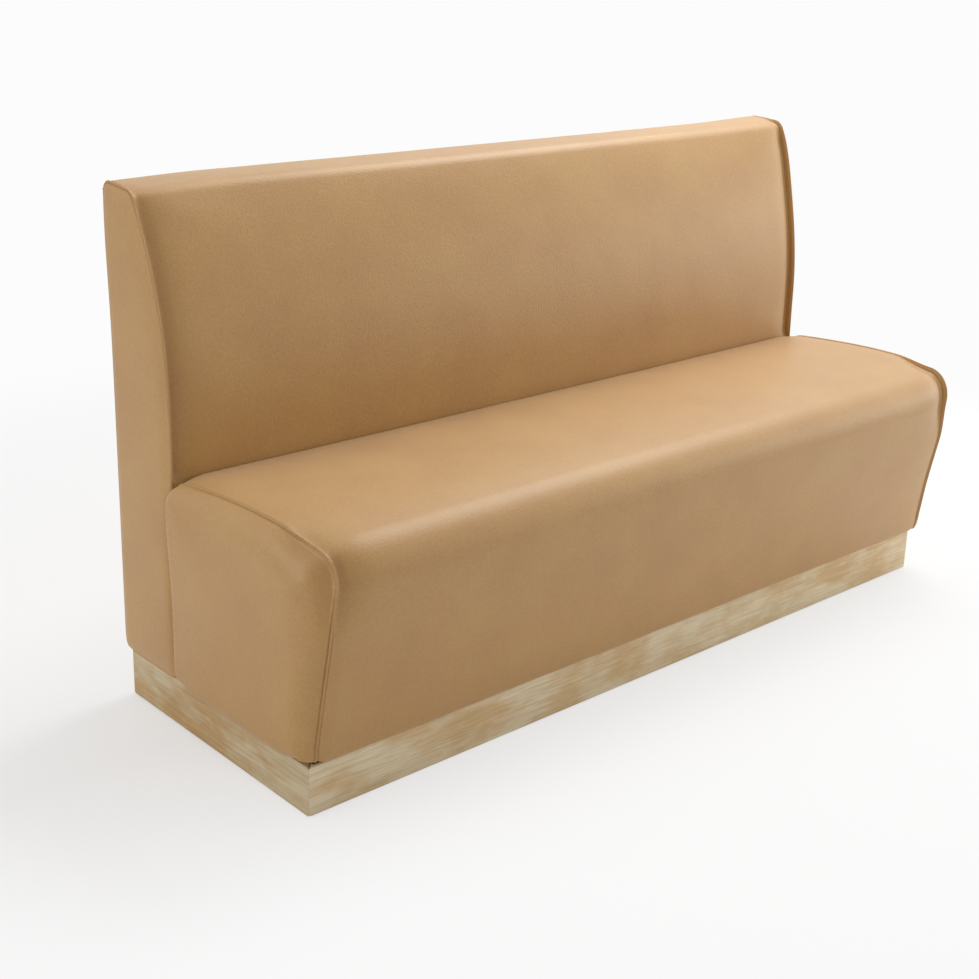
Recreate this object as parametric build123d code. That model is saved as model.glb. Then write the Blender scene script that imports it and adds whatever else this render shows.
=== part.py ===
from build123d import *
import os
from math import cos, pi, radians, sin, sqrt, tan

# A straight one-sided booth bench for a restaurant. An upholstered seat unit and an
# upholstered back unit stand side by side on one low oak plinth with mitred corners.
# Each unit is a plywood frame of end panels and ribs with housed rails, covered with
# foam and leather. Four levelling glides stand in the corners of the plinth. Each one's
# stem runs through a threaded steel plate under a wooden block.
# All lengths are in millimetres. +X runs along the bench, -Y is the side that people
# sit on, +Z is up. The origin is on the floor, under the middle of the bench.

# The bench as a whole
overall_depth = 612
overall_height = 926
# Both units, between the seams of their end panels
unit_length = 1604

# Plinth
plinth_board_height = 86
plinth_board_thickness = 18
plinth_front_inset = 68
plinth_rear_inset = 10
plinth_end_inset = 2
glide_standoff = 2
cross_rail_width = 76
cross_rail_thickness = 22
cleat_width = 20
cleat_height = 22

# Seat unit, outside
seat_rear_height = 450
seat_nose_rise = 4
seat_top_slope_degrees = 7
seat_rake_degrees = 11
seat_nose_radius = 60
seat_rear_radius = 42
seat_end_bulge = 26

# Back unit, outside
back_depth = 179.5
back_top_depth = 82
back_lean_above_seat = 97
back_front_radius = 28
back_rear_radius = 20
back_end_bulge = 12

# Upholstery of both units
cover_thickness = 1.3
cover_return = 26
dust_thickness = 0.8
foot_radius = 12
dust_margin = 2.5
seat_foam_depth = 78
seat_front_foam = 22
seat_end_foam = 13
back_front_foam = 42
back_top_foam = 34
back_end_foam = 11
lining_below_deck = 20
back_ledge_above_deck = 20

# An end panel rolls over its edge at 45 degrees for this much, and is barrelled from there
end_lip = 7

# Frames of both units
rib_count = 3
rib_thickness = 18
rail_thickness = 22
rail_width = 60
base_rail_width = 76
deck_thickness = 12
front_board_thickness = 6
facing_thickness = 5
rear_board_thickness = 5
seat_window_width_share = 0.4
seat_window_height_share = 0.48
back_window_width_share = 0.45
back_window_height_share = 0.7
window_radius_share = 0.25
vent_radius = 14
vent_count = 4

# Bolts and nuts
bolt_radius = 4
bolt_clearance = 0.5
bolt_head_height = 5.3
bolt_head_across = 18
nut_height = 6.5
bolt_end = 3
bolt_beside_rib = 25

# Levelling glides
glide_travel = 12
glide_stem_radius = 5
glide_stem_clearance = 0.3
glide_foot_across = 32
glide_foot_height = 8
glide_collar_across = 17
glide_collar_height = 5
glide_block_width = 56
glide_block_bore_radius = 7
glide_plate_gap = 1.5
glide_plate_width = 44
glide_plate_thickness = 3

overrun = 5

# Heights and places that follow from the values above
plinth_top = glide_standoff + plinth_board_height
unit_bottom = plinth_top + dust_thickness
frame_bottom = unit_bottom + cover_thickness
front_y = -overall_depth / 2
rear_y = overall_depth / 2
seat_rear_y = rear_y - back_depth
plinth_rear_y = rear_y - plinth_rear_inset
plinth_front_y = front_y + plinth_front_inset
plinth_depth = plinth_rear_y - plinth_front_y

seam_x = unit_length / 2
plinth_length = unit_length - 2 * plinth_end_inset

seat_nose_height = seat_rear_height + seat_nose_rise
seat_frame_x = seam_x - seat_end_foam
seat_rake = radians(seat_rake_degrees)
seat_top_slope = radians(seat_top_slope_degrees)
seat_frame_rear_y = seat_rear_y - cover_thickness
deck_top = seat_rear_height - seat_foam_depth
deck_bottom = deck_top - deck_thickness
lining_top = deck_top - lining_below_deck
seat_front_build = cover_thickness + seat_front_foam + front_board_thickness

back_frame_x = seam_x - back_end_foam
back_frame_front_y = seat_rear_y + cover_thickness
back_frame_rear_y = rear_y - cover_thickness - rear_board_thickness
back_frame_top = overall_height - cover_thickness - back_top_foam
back_front_build = cover_thickness + back_front_foam + facing_thickness
base_board_top = frame_bottom + rail_thickness
back_ledge_height = deck_top + back_ledge_above_deck
back_lean_start = seat_rear_height + back_lean_above_seat
back_lean_rise = overall_height - back_lean_start
back_lean_depth = back_depth - back_top_depth
back_lean_radius = (back_lean_rise**2 + back_lean_depth**2) / (2 * back_lean_depth)
joint_height = deck_bottom - rail_width / 2


def rib_places(frame_x):
    """X of each rib, evenly spaced between the two end panels of a frame."""
    bay = 2 * frame_x / (rib_count + 1)
    return [-frame_x + bay * (i + 1) for i in range(rib_count)]


def bay_places(frame_x):
    """X of the middle of each bay between the ribs and end panels of a frame."""
    bay = 2 * frame_x / (rib_count + 1)
    return [-frame_x + bay * (i + 1 / 2) for i in range(rib_count + 1)]


rib_x = rib_places(seat_frame_x)
bay_x = bay_places(seat_frame_x)


# Helpers
def block(x_span, y_span, z_span):
    """A box from its limits along X, Y and Z."""
    spans = (x_span, y_span, z_span)
    middle = [(low + high) / 2 for low, high in spans]
    size = [high - low for low, high in spans]
    return Pos(*middle) * Box(*size)


def run(side_view, x_from, x_to):
    """A solid with the given side view, a face in Y and Z, between two places along X."""
    return Pos(x_from, 0, 0) * extrude(Plane.YZ * side_view, x_to - x_from)


def side_polygon(*corners):
    """A straight-sided side view through corners given as Y and Z."""
    return make_face(Polyline(*corners, close=True))


def side_box(y_span, z_span):
    """A rectangular side view."""
    (y0, y1), (z0, z1) = y_span, z_span
    return side_polygon((y0, z0), (y1, z0), (y1, z1), (y0, z1))


def round_corner(face, corner, radius):
    """The face with the vertex nearest to the corner rounded."""
    nearest = face.vertices().sort_by_distance((*corner, 0))[0]
    return fillet(nearest, radius)


def drawn_in(radius, inset):
    """Radius of a rounded corner on an outline that lies inset inside the first one."""
    return radius * radius / (radius + inset)


def upright_hole(x, y, radius, z_span):
    """A cylinder along Z."""
    z0, z1 = z_span
    return Pos(x, y, (z0 + z1) / 2) * Cylinder(radius, z1 - z0)


def level_hole(x, z, radius, y_span):
    """A cylinder along Y."""
    y0, y1 = y_span
    return Pos(x, (y0 + y1) / 2, z) * Rot(90, 0, 0) * Cylinder(radius, y1 - y0)


def group(pieces):
    """Separate solids that share one node."""
    return Compound(children=[solid for piece in pieces for solid in piece.solids()])


def save(node, shape):
    """Writes one node's file."""
    export_step(shape, f"parts/{node}.step")


# Side outlines
def seat_front_line(z, inset):
    """Y at height z of the seat's raked front, moved inwards by inset. The rounded nose
    above it reaches front_y."""
    half_angle = (pi / 2 - seat_rake + seat_top_slope) / 2
    along_top = seat_nose_radius / tan(half_angle)
    rise = along_top * sin(seat_top_slope) - seat_nose_radius * cos(seat_top_slope)
    nose_z = seat_nose_height + rise
    foremost = seat_nose_radius - seat_nose_radius / cos(seat_rake)
    return front_y + foremost + (nose_z - z) * tan(seat_rake) + inset / cos(seat_rake)


def seat_outline(inset):
    """Side view of the seat unit, inset from the outside of its cover."""
    bottom = unit_bottom + inset
    rear = seat_rear_y - inset
    rear_foot = (rear, bottom)
    rear_top = (rear, seat_rear_height - inset)
    front_top = (seat_front_line(seat_nose_height - inset, inset), seat_nose_height - inset)
    slope = (cos(seat_top_slope), sin(seat_top_slope))
    front_foot = (seat_front_line(bottom, inset), bottom)
    face = make_face(
        [
            Line(rear_foot, rear_top),
            TangentArc(front_top, rear_top, tangent=slope),
            Line(front_top, front_foot),
            Line(front_foot, rear_foot),
        ]
    )
    face = round_corner(face, rear_top, drawn_in(seat_rear_radius, inset))
    face = round_corner(face, front_top, drawn_in(seat_nose_radius, inset))
    face = round_corner(face, front_foot, drawn_in(foot_radius, inset))
    return round_corner(face, rear_foot, drawn_in(foot_radius, inset))


def back_front_line(z, inset):
    """Y at height z of the back's front, moved inwards by inset."""
    rise = max(z - back_lean_start, 0)
    radius = back_lean_radius - inset
    return seat_rear_y + back_lean_radius - sqrt(radius * radius - rise * rise)


def back_lean(z_top, inset):
    """The curved upper part of the back's front, up to height z_top."""
    z_middle = (back_lean_start + z_top) / 2
    heights = (back_lean_start, z_middle, z_top)
    return ThreePointArc(*[(back_front_line(z, inset), z) for z in heights])


def back_outline(inset):
    """Side view of the back unit, inset from the outside of its cover."""
    bottom = unit_bottom + inset
    rear = rear_y - inset
    front = seat_rear_y + inset
    top = overall_height - inset
    rear_foot = (rear, bottom)
    rear_top = (rear, top)
    front_top = (back_front_line(top, inset), top)
    front_foot = (front, bottom)
    face = make_face(
        [
            Line(front_foot, (front, back_lean_start)),
            back_lean(top, inset),
            Line(front_top, rear_top),
            Line(rear_top, rear_foot),
            Line(rear_foot, front_foot),
        ]
    )
    face = round_corner(face, rear_top, drawn_in(back_rear_radius, inset))
    face = round_corner(face, front_top, drawn_in(back_front_radius, inset))
    face = round_corner(face, front_foot, drawn_in(foot_radius, inset))
    return round_corner(face, rear_foot, drawn_in(foot_radius, inset))


# Upholstery
def barrels(outline, inset, bulge, side):
    """Two crossing barrels that crown an end panel, one along its depth and one along
    its height. Both reach the lip at the panel's edges and the full bulge in its middle."""
    view = outline(end_lip).bounding_box()
    rise = bulge - end_lip
    for span, turn in ((view.size.X, Rot(0, 0, 0)), (view.size.Y, Rot(90, 0, 0))):
        radius = (span * span / 4 + rise * rise) / (2 * rise)
        centre = (side * (seam_x + bulge - radius), view.center().X, view.center().Y)
        yield Pos(*centre) * turn * Cylinder(radius - inset, 2 * overall_height)


def swell(outline, inset, bulge, side):
    """The pillow form of an end panel, out from its seam. side is -1 or 1."""
    lip_x = side * (seam_x + end_lip)
    seam = Plane.YZ.offset(side * seam_x) * outline(inset)
    lip = Plane.YZ.offset(lip_x) * outline(inset + end_lip)
    near, far = sorted((lip_x, side * (seam_x + bulge)))
    body = loft([seam, lip], ruled=True) + run(outline(inset + end_lip), near, far)
    for barrel in barrels(outline, inset, bulge, side):
        body &= barrel
    return body


def end_cover(outline, bulge, side):
    """One end panel of leather, open towards the frame."""
    outside = swell(outline, 0, bulge, side)
    return outside - swell(outline, cover_thickness, bulge, side)


def end_foam(outline, frame_x, bulge, side):
    """The pad between the frame's end panel and the end cover."""
    near, far = sorted((side * frame_x, side * seam_x))
    pad = run(outline(cover_thickness), near, far)
    return pad + swell(outline, cover_thickness, bulge, side)


def cover_ring(outline):
    """Side view of the leather that goes right round a unit."""
    return outline(0) - outline(cover_thickness)


def bottom_window(y_span):
    """The space under a unit that its leather leaves open inside its returns."""
    y0, y1 = y_span
    x = seam_x - cover_return
    z_span = (unit_bottom - overrun, frame_bottom)
    return block((-x, x), (y0 + cover_return, y1 - cover_return), z_span)


def seat_covers():
    """Main cover of the seat and the lining over the lower part of its rear."""
    ring = cover_ring(seat_outline)
    y_span = (seat_front_line(unit_bottom, 0), seat_rear_y)
    opening = bottom_window(y_span)
    lining_y = (seat_rear_y - cover_return, seat_rear_y + overrun)
    lining_zone = side_box(lining_y, (unit_bottom - overrun, lining_top))
    main = run(ring - lining_zone, -seam_x, seam_x) - opening
    lining = run(ring & lining_zone, -seam_x, seam_x) - opening
    return main, lining


def back_covers():
    """Front cover of the back, which goes over the top, and the rear cover."""
    ring = cover_ring(back_outline)
    opening = bottom_window((seat_rear_y, rear_y))
    seam_z = overall_height - back_rear_radius - overrun
    rear_zone = side_box(
        (rear_y - cover_return, rear_y + overrun), (unit_bottom - overrun, seam_z)
    )
    front = run(ring - rear_zone, -seam_x, seam_x) - opening
    rear = run(ring & rear_zone, -seam_x, seam_x) - opening
    return front, rear


def dust_cover(y_span):
    """Thin cloth stapled under a unit, between its cover returns and the plinth."""
    y0, y1 = y_span
    edge = foot_radius + dust_margin
    x = seam_x - edge
    return block((-x, x), (y0 + edge, y1 - edge), (plinth_top, unit_bottom))


# Seat frame and foam
def seat_band(z_span, near, far):
    """Side view of a raked layer behind the seat's front, between two insets."""
    z0, z1 = z_span
    return side_polygon(
        (seat_front_line(z0, near), z0),
        (seat_front_line(z0, far), z0),
        (seat_front_line(z1, far), z1),
        (seat_front_line(z1, near), z1),
    ) & seat_outline(cover_thickness)


def seat_frame_face():
    """Side view of the seat's end panels and ribs, before notches."""
    face = side_polygon(
        (seat_front_line(frame_bottom, seat_front_build), frame_bottom),
        (seat_frame_rear_y, frame_bottom),
        (seat_frame_rear_y, deck_bottom),
        (seat_front_line(deck_bottom, seat_front_build), deck_bottom),
    )
    return face & seat_outline(cover_thickness)


def seat_rail_faces():
    """Side views of the four rails of the seat frame, by name."""
    inside = seat_outline(cover_thickness)
    base_z = (frame_bottom, frame_bottom + rail_thickness)
    top_z = (deck_bottom - rail_width, deck_bottom)
    rear_base = side_box((seat_frame_rear_y - base_rail_width, seat_frame_rear_y), base_z)
    rear = side_box((seat_frame_rear_y - rail_thickness, seat_frame_rear_y), top_z)
    behind = seat_front_build + rail_thickness
    front_base = seat_band(base_z, seat_front_build, seat_front_build + base_rail_width)
    return {
        "seat_nose_rail": seat_band(top_z, seat_front_build, behind),
        "seat_rear_rail": rear & inside,
        "seat_base_rail_front": front_base,
        "seat_base_rail_rear": rear_base & inside,
    }


def window(y_span, z_span, width_share, height_share):
    """An opening with rounded corners in the middle of the space given, and a share of it."""
    (y0, y1), (z0, z1) = y_span, z_span
    width, height = (y1 - y0) * width_share, (z1 - z0) * height_share
    opening = RectangleRounded(width, height, min(width, height) * window_radius_share)
    return Pos((y0 + y1) / 2, (z0 + z1) / 2) * opening


def seat_window():
    """The opening in a seat rib."""
    y_span = (seat_front_line(joint_height, seat_front_build), seat_frame_rear_y)
    z_span = (frame_bottom, deck_bottom)
    return window(y_span, z_span, seat_window_width_share, seat_window_height_share)


def seat_ribs():
    """The seat's ribs, notched for the rails."""
    face = seat_frame_face() - seat_window()
    for rail in seat_rail_faces().values():
        face -= rail
    half = rib_thickness / 2
    return [run(face, x - half, x + half) for x in rib_x]


def seat_rails():
    """The seat's rails, which run between the end panels."""
    inner_x = seat_frame_x - rib_thickness
    return {name: run(face, -inner_x, inner_x) for name, face in seat_rail_faces().items()}


def vent_places():
    """X and Y of the vent holes along the middle of the seat deck."""
    pitch = 2 * seat_frame_x / vent_count
    y = (seat_front_line(deck_top, seat_front_build) + seat_frame_rear_y) / 2
    return [(-seat_frame_x + pitch * (i + 1 / 2), y) for i in range(vent_count)]


def seat_deck():
    """The plywood deck on the frame, with vent holes."""
    near = cover_thickness + seat_front_foam
    face = side_polygon(
        (seat_front_line(deck_bottom, near), deck_bottom),
        (seat_frame_rear_y, deck_bottom),
        (seat_frame_rear_y, deck_top),
        (seat_front_line(deck_top, near), deck_top),
    )
    deck = run(face, -seat_frame_x, seat_frame_x)
    z_span = (deck_bottom - overrun, deck_top + overrun)
    return deck - [upright_hole(x, y, vent_radius, z_span) for x, y in vent_places()]


def seat_front_board():
    """Thin plywood on the raked edges of the end panels and ribs."""
    near = cover_thickness + seat_front_foam
    face = seat_band((frame_bottom, deck_bottom), near, seat_front_build)
    return run(face, -seat_frame_x, seat_frame_x)


def seat_foam_faces():
    """Side views of the foam block on the deck and of the pad on the front."""
    inside = seat_outline(cover_thickness)
    y_span = (front_y - overrun, seat_rear_y)
    above = side_box(y_span, (deck_top, overall_height))
    near = cover_thickness + seat_front_foam
    pad = side_polygon(
        (front_y, frame_bottom),
        (seat_front_line(frame_bottom, near), frame_bottom),
        (seat_front_line(deck_top, near), deck_top),
        (front_y, deck_top),
    )
    return inside & above, inside & pad


# Back frame and foam
def back_frame_face():
    """Side view of the back's end panels and ribs, before notches. A ledge under the
    foam brings the lower part forward to the seat unit."""
    front = seat_rear_y + back_front_build
    top = (back_front_line(back_frame_top, back_front_build), back_frame_top)
    face = make_face(
        [
            Polyline(
                (front, back_lean_start),
                (front, back_ledge_height),
                (back_frame_front_y, back_ledge_height),
                (back_frame_front_y, frame_bottom),
                (back_frame_rear_y, frame_bottom),
                (back_frame_rear_y, back_frame_top),
                top,
            ),
            back_lean(back_frame_top, back_front_build),
        ]
    )
    return face & back_outline(cover_thickness)


def back_rail_faces():
    """Side views of the rails and the base board of the back frame, by name."""
    inside = back_outline(cover_thickness)
    rear_y_span = (back_frame_rear_y - rail_thickness, back_frame_rear_y)
    lumbar_y = seat_rear_y + back_front_build
    joint_y_span = (back_frame_front_y, back_frame_front_y + rail_thickness)
    joint_z = (joint_height - rail_width / 2, joint_height + rail_width / 2)
    lumbar_z = (back_lean_start - rail_width, back_lean_start)
    base = side_box((back_frame_front_y, back_frame_rear_y), (frame_bottom, base_board_top))
    return {
        "back_top_rail": side_box(rear_y_span, (back_frame_top - rail_width, back_frame_top)),
        "back_lumbar_rail": side_box((lumbar_y, lumbar_y + rail_thickness), lumbar_z),
        "back_joint_rail": side_box(joint_y_span, joint_z),
        "back_base_board": base & inside,
    }


def back_window():
    """The opening in a back rib, between its base and the joint rail."""
    y_span = (back_frame_front_y, back_frame_rear_y)
    z_span = (base_board_top, joint_height - rail_width / 2)
    return window(y_span, z_span, back_window_width_share, back_window_height_share)


def back_ribs():
    """The back's ribs, notched for the rails, with an opening behind the seat's edge."""
    face = back_frame_face()
    for rail in back_rail_faces().values():
        face -= rail
    face -= back_window()
    half = rib_thickness / 2
    return [run(face, x - half, x + half) for x in rib_x]


def back_rails():
    """The back's rails, which run between the end panels."""
    inner_x = back_frame_x - rib_thickness
    return {name: run(face, -inner_x, inner_x) for name, face in back_rail_faces().items()}


def back_layer(z_top, near, far):
    """Side view of a curved layer behind the back's front, between two insets."""
    edges = []
    for inset in (near, far):
        y = seat_rear_y + inset
        edges.append(Line((y, back_ledge_height), (y, back_lean_start)))
        edges.append(back_lean(z_top, inset))
    top = [(back_front_line(z_top, inset), z_top) for inset in (near, far)]
    foot = [(seat_rear_y + inset, back_ledge_height) for inset in (near, far)]
    return make_face([*edges, Line(*top), Line(*foot)])


def back_facing():
    """Bending plywood over the front of the ribs."""
    near = cover_thickness + back_front_foam
    face = back_layer(back_frame_top, near, back_front_build)
    return run(face, -back_frame_x, back_frame_x)


def back_foam_face():
    """Side view of the foam on the facing and over the top of the frame."""
    frame_front = cover_thickness + back_front_foam
    over = side_box((seat_rear_y, rear_y), (back_frame_top, overall_height))
    front = back_layer(back_frame_top, cover_thickness, frame_front)
    return (over + front) & back_outline(cover_thickness)


def back_rear_board():
    """Thin plywood that closes the rear of the frame."""
    y_span = (back_frame_rear_y, back_frame_rear_y + rear_board_thickness)
    face = side_box(y_span, (frame_bottom, back_frame_top)) & back_outline(cover_thickness)
    return run(face, -back_frame_x, back_frame_x)


# Plinth
def mitred_board(length, thickness, height):
    """A board along X with both ends mitred towards +Y, its outer face at Y = 0."""
    half = length / 2
    plan = Polyline(
        (-half, 0), (half, 0), (half - thickness, thickness), (thickness - half, thickness),
        close=True,
    )
    return extrude(make_face(plan), height)


def plinth_boards():
    """The four oak boards of the plinth, by name."""
    thickness = plinth_board_thickness
    long_board = mitred_board(plinth_length, thickness, plinth_board_height)
    short_board = mitred_board(plinth_depth, thickness, plinth_board_height)
    y_middle = (plinth_front_y + plinth_rear_y) / 2
    x = plinth_length / 2
    return {
        "plinth_front": Pos(0, plinth_front_y, glide_standoff) * long_board,
        "plinth_rear": Pos(0, plinth_rear_y, glide_standoff) * Rot(0, 0, 180) * long_board,
        "plinth_left": Pos(-x, y_middle, glide_standoff) * Rot(0, 0, -90) * short_board,
        "plinth_right": Pos(x, y_middle, glide_standoff) * Rot(0, 0, 90) * short_board,
    }


plinth_inner_front_y = plinth_front_y + plinth_board_thickness
plinth_inner_rear_y = plinth_rear_y - plinth_board_thickness
plinth_inner_x = plinth_length / 2 - plinth_board_thickness
cross_rail_bottom = plinth_top - cross_rail_thickness
cleat_bottom = cross_rail_bottom - cleat_height


def cross_rails():
    """Flat rails across the plinth, under the ribs."""
    half = cross_rail_width / 2
    y_span = (plinth_inner_front_y, plinth_inner_rear_y)
    z_span = (cross_rail_bottom, plinth_top)
    return [block((x - half, x + half), y_span, z_span) for x in rib_x]


def cleats():
    """Strips along the long boards that the cross rails lie on: front, then rear."""
    x_span = (-plinth_inner_x, plinth_inner_x)
    z_span = (cleat_bottom, cross_rail_bottom)
    front = (plinth_inner_front_y, plinth_inner_front_y + cleat_width)
    rear = (plinth_inner_rear_y - cleat_width, plinth_inner_rear_y)
    return [block(x_span, y_span, z_span) for y_span in (front, rear)]


# Levelling glides
def glide_places():
    """X and Y of the glides, in the corners of the plinth."""
    x = plinth_inner_x - glide_block_width / 2
    y_front = plinth_inner_front_y + glide_block_width / 2
    y_rear = plinth_inner_rear_y - glide_block_width / 2
    return {
        f"{row}_{name}": (place, y)
        for row, y in (("front", y_front), ("rear", y_rear))
        for name, place in (("left", -x), ("right", x))
    }


glide_collar_top = glide_foot_height + glide_collar_height
glide_plate_bottom = glide_collar_top + glide_plate_gap
glide_block_bottom = glide_plate_bottom + glide_plate_thickness
glide_stem_top = cleat_bottom + glide_travel


def hexagon(across):
    """A regular hexagon from its width across flats."""
    return RegularPolygon(across / 2, 6, major_radius=False)


def glide():
    """One glide: a hexagonal plastic foot, and a steel stem with a collar for a spanner."""
    foot = extrude(hexagon(glide_foot_across), glide_foot_height)
    top_edges = foot.faces().sort_by(Axis.Z)[-1].edges()
    foot = chamfer(top_edges, glide_foot_height / 3)
    collar = Pos(0, 0, glide_foot_height) * extrude(
        hexagon(glide_collar_across), glide_collar_height
    )
    stem = upright_hole(0, 0, glide_stem_radius, (glide_collar_top, glide_stem_top))
    return foot, collar + stem


def glide_block():
    """A wooden block with a hole for the stem, at its place over the origin."""
    half = glide_block_width / 2
    z_span = (glide_block_bottom, cleat_bottom)
    bore = (glide_block_bottom - overrun, cleat_bottom + overrun)
    body = block((-half, half), (-half, half), z_span)
    return body - upright_hole(0, 0, glide_block_bore_radius, bore)


def glide_plate():
    """A square steel plate under a glide block, with the threaded hole of the stem."""
    half = glide_plate_width / 2
    z_span = (glide_plate_bottom, glide_block_bottom)
    bore = (glide_plate_bottom - overrun, glide_block_bottom + overrun)
    radius = glide_stem_radius + glide_stem_clearance
    return block((-half, half), (-half, half), z_span) - upright_hole(0, 0, radius, bore)


# Bolts
def bolt(grip):
    """A hexagon bolt along Z: its head under the origin, its shank up through the grip
    and a nut's height."""
    shank = upright_hole(0, 0, bolt_radius, (0, grip + nut_height + bolt_end))
    return shank + extrude(hexagon(bolt_head_across), -bolt_head_height)


def nut(grip):
    """A hexagon nut on top of the grip."""
    face = hexagon(bolt_head_across) - Circle(bolt_radius + bolt_clearance / 2)
    return Pos(0, 0, grip) * extrude(face, nut_height)


def plinth_bolt_rows():
    """Y of the bolts through the cross rails: seat front rail and back base board."""
    seat_front = seat_front_line(frame_bottom, seat_front_build + base_rail_width / 2)
    return seat_front, (back_frame_front_y + back_frame_rear_y) / 2


def plinth_bolt_places():
    """X and Y of the bolts through the outer cross rails, beside the ribs."""
    columns = (rib_x[0] + bolt_beside_rib, rib_x[-1] - bolt_beside_rib)
    return [(x, y) for x in columns for y in plinth_bolt_rows()]


plinth_bolt_z = (cross_rail_bottom, base_board_top)
joint_bolt_y = (seat_frame_rear_y - rail_thickness, back_frame_front_y + rail_thickness)
joint_bolt_x = (bay_x[0], bay_x[-1])


def plinth_bolt_holes():
    """Cutters for the holes of the bolts through the cross rails."""
    low, high = plinth_bolt_z
    z_span = (low - overrun, high + overrun)
    radius = bolt_radius + bolt_clearance
    return [upright_hole(x, y, radius, z_span) for x, y in plinth_bolt_places()]


def joint_bolt_holes():
    """Cutters for the holes of the bolts between the seat and back units."""
    low, high = joint_bolt_y
    y_span = (low - overrun, high + overrun)
    radius = bolt_radius + bolt_clearance
    return [level_hole(x, joint_height, radius, y_span) for x in joint_bolt_x]


# The assembly
def build_plinth():
    """Boards, cross rails, cleats, glide blocks with their plates, and glides."""
    holes = plinth_bolt_holes()
    for name, board in plinth_boards().items():
        save(name, board)
    for i, rail in enumerate(cross_rails(), 1):
        save(f"plinth_cross_rail_{i}", rail - holes)
    save("plinth_cleats", group(cleats()))
    places = glide_places()
    save("glide_blocks", group([Pos(x, y, 0) * glide_block() for x, y in places.values()]))
    save("glide_plates", group([Pos(x, y, 0) * glide_plate() for x, y in places.values()]))
    for name, (x, y) in places.items():
        foot, stem = glide()
        save(f"glide_foot_{name}", Pos(x, y, 0) * foot)
        save(f"glide_stem_{name}", Pos(x, y, 0) * stem)


def build_seat():
    """The seat unit: frame, foam and leather."""
    upright, level = plinth_bolt_holes(), joint_bolt_holes()
    outer, inner = seat_frame_x, seat_frame_x - rib_thickness
    save("seat_end_panel_left", run(seat_frame_face(), -outer, -inner))
    save("seat_end_panel_right", run(seat_frame_face(), inner, outer))
    for i, rib in enumerate(seat_ribs(), 1):
        save(f"seat_rib_{i}", rib)
    for name, rail in seat_rails().items():
        save(name, rail - upright - level)
    save("seat_front_board", seat_front_board())
    save("seat_deck", seat_deck())
    block_face, pad_face = seat_foam_faces()
    save("seat_foam_block", run(block_face, -outer, outer))
    save("seat_foam_front", run(pad_face, -outer, outer))
    for side, word in ((-1, "left"), (1, "right")):
        pad = end_foam(seat_outline, seat_frame_x, seat_end_bulge, side)
        save(f"seat_foam_{word}", pad)
        cover = end_cover(seat_outline, seat_end_bulge, side)
        save(f"seat_cover_{word}", cover)
    main, lining = seat_covers()
    save("seat_cover_main", main - level)
    save("seat_rear_lining", lining - level)
    y_span = (seat_front_line(unit_bottom, 0), seat_rear_y)
    save("seat_dust_cover", dust_cover(y_span) - upright)


def build_back():
    """The back unit: frame, foam and leather."""
    upright, level = plinth_bolt_holes(), joint_bolt_holes()
    outer, inner = back_frame_x, back_frame_x - rib_thickness
    save("back_end_panel_left", run(back_frame_face(), -outer, -inner))
    save("back_end_panel_right", run(back_frame_face(), inner, outer))
    for i, rib in enumerate(back_ribs(), 1):
        save(f"back_rib_{i}", rib)
    for name, rail in back_rails().items():
        save(name, rail - upright - level)
    save("back_facing", back_facing())
    save("back_rear_board", back_rear_board())
    save("back_foam_front", run(back_foam_face(), -outer, outer))
    for side, word in ((-1, "left"), (1, "right")):
        pad = end_foam(back_outline, back_frame_x, back_end_bulge, side)
        save(f"back_foam_{word}", pad)
        cover = end_cover(back_outline, back_end_bulge, side)
        save(f"back_cover_{word}", cover)
    front, rear = back_covers()
    save("back_cover_front", front - level)
    save("back_cover_rear", rear)
    save("back_dust_cover", dust_cover((seat_rear_y, rear_y)) - upright)


def build_fasteners():
    """Bolts and nuts, upright through the plinth and level between the two units."""
    upright_grip = plinth_bolt_z[1] - plinth_bolt_z[0]
    level_grip = joint_bolt_y[1] - joint_bolt_y[0]
    upright = [Pos(x, y, plinth_bolt_z[0]) for x, y in plinth_bolt_places()]
    turn = Rot(-90, 0, 0)
    level = [Pos(x, joint_bolt_y[0], joint_height) * turn for x in joint_bolt_x]
    nuts = [at * nut(upright_grip) for at in upright] + [at * nut(level_grip) for at in level]
    save("plinth_bolts", group([at * bolt(upright_grip) for at in upright]))
    save("joint_bolts", group([at * bolt(level_grip) for at in level]))
    save("nuts", group(nuts))


os.makedirs("parts", exist_ok=True)
build_plinth()
build_seat()
build_back()
build_fasteners()
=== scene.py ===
"""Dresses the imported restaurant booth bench: leather covers over foam, an oak plinth, and
the photo's view."""

import math

import bmesh
import bpy
import numpy as np
from mathutils import Matrix, Vector, geometry, noise
from mathutils.bvhtree import BVHTree
from mathutils.kdtree import KDTree


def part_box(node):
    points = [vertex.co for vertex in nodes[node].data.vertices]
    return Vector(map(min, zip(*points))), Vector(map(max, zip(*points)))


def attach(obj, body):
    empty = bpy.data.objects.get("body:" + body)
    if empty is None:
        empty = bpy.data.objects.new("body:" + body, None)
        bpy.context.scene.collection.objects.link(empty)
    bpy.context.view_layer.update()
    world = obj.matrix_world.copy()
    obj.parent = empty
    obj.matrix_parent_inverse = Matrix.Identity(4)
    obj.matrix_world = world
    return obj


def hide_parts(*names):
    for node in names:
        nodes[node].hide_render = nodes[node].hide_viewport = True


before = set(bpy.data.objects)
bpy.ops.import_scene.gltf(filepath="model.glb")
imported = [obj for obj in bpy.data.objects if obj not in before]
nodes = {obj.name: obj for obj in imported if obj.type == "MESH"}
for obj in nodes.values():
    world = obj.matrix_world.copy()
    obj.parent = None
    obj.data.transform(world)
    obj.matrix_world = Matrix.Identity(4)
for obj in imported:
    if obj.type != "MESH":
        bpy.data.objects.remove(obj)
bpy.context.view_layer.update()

MM = 0.001

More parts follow.
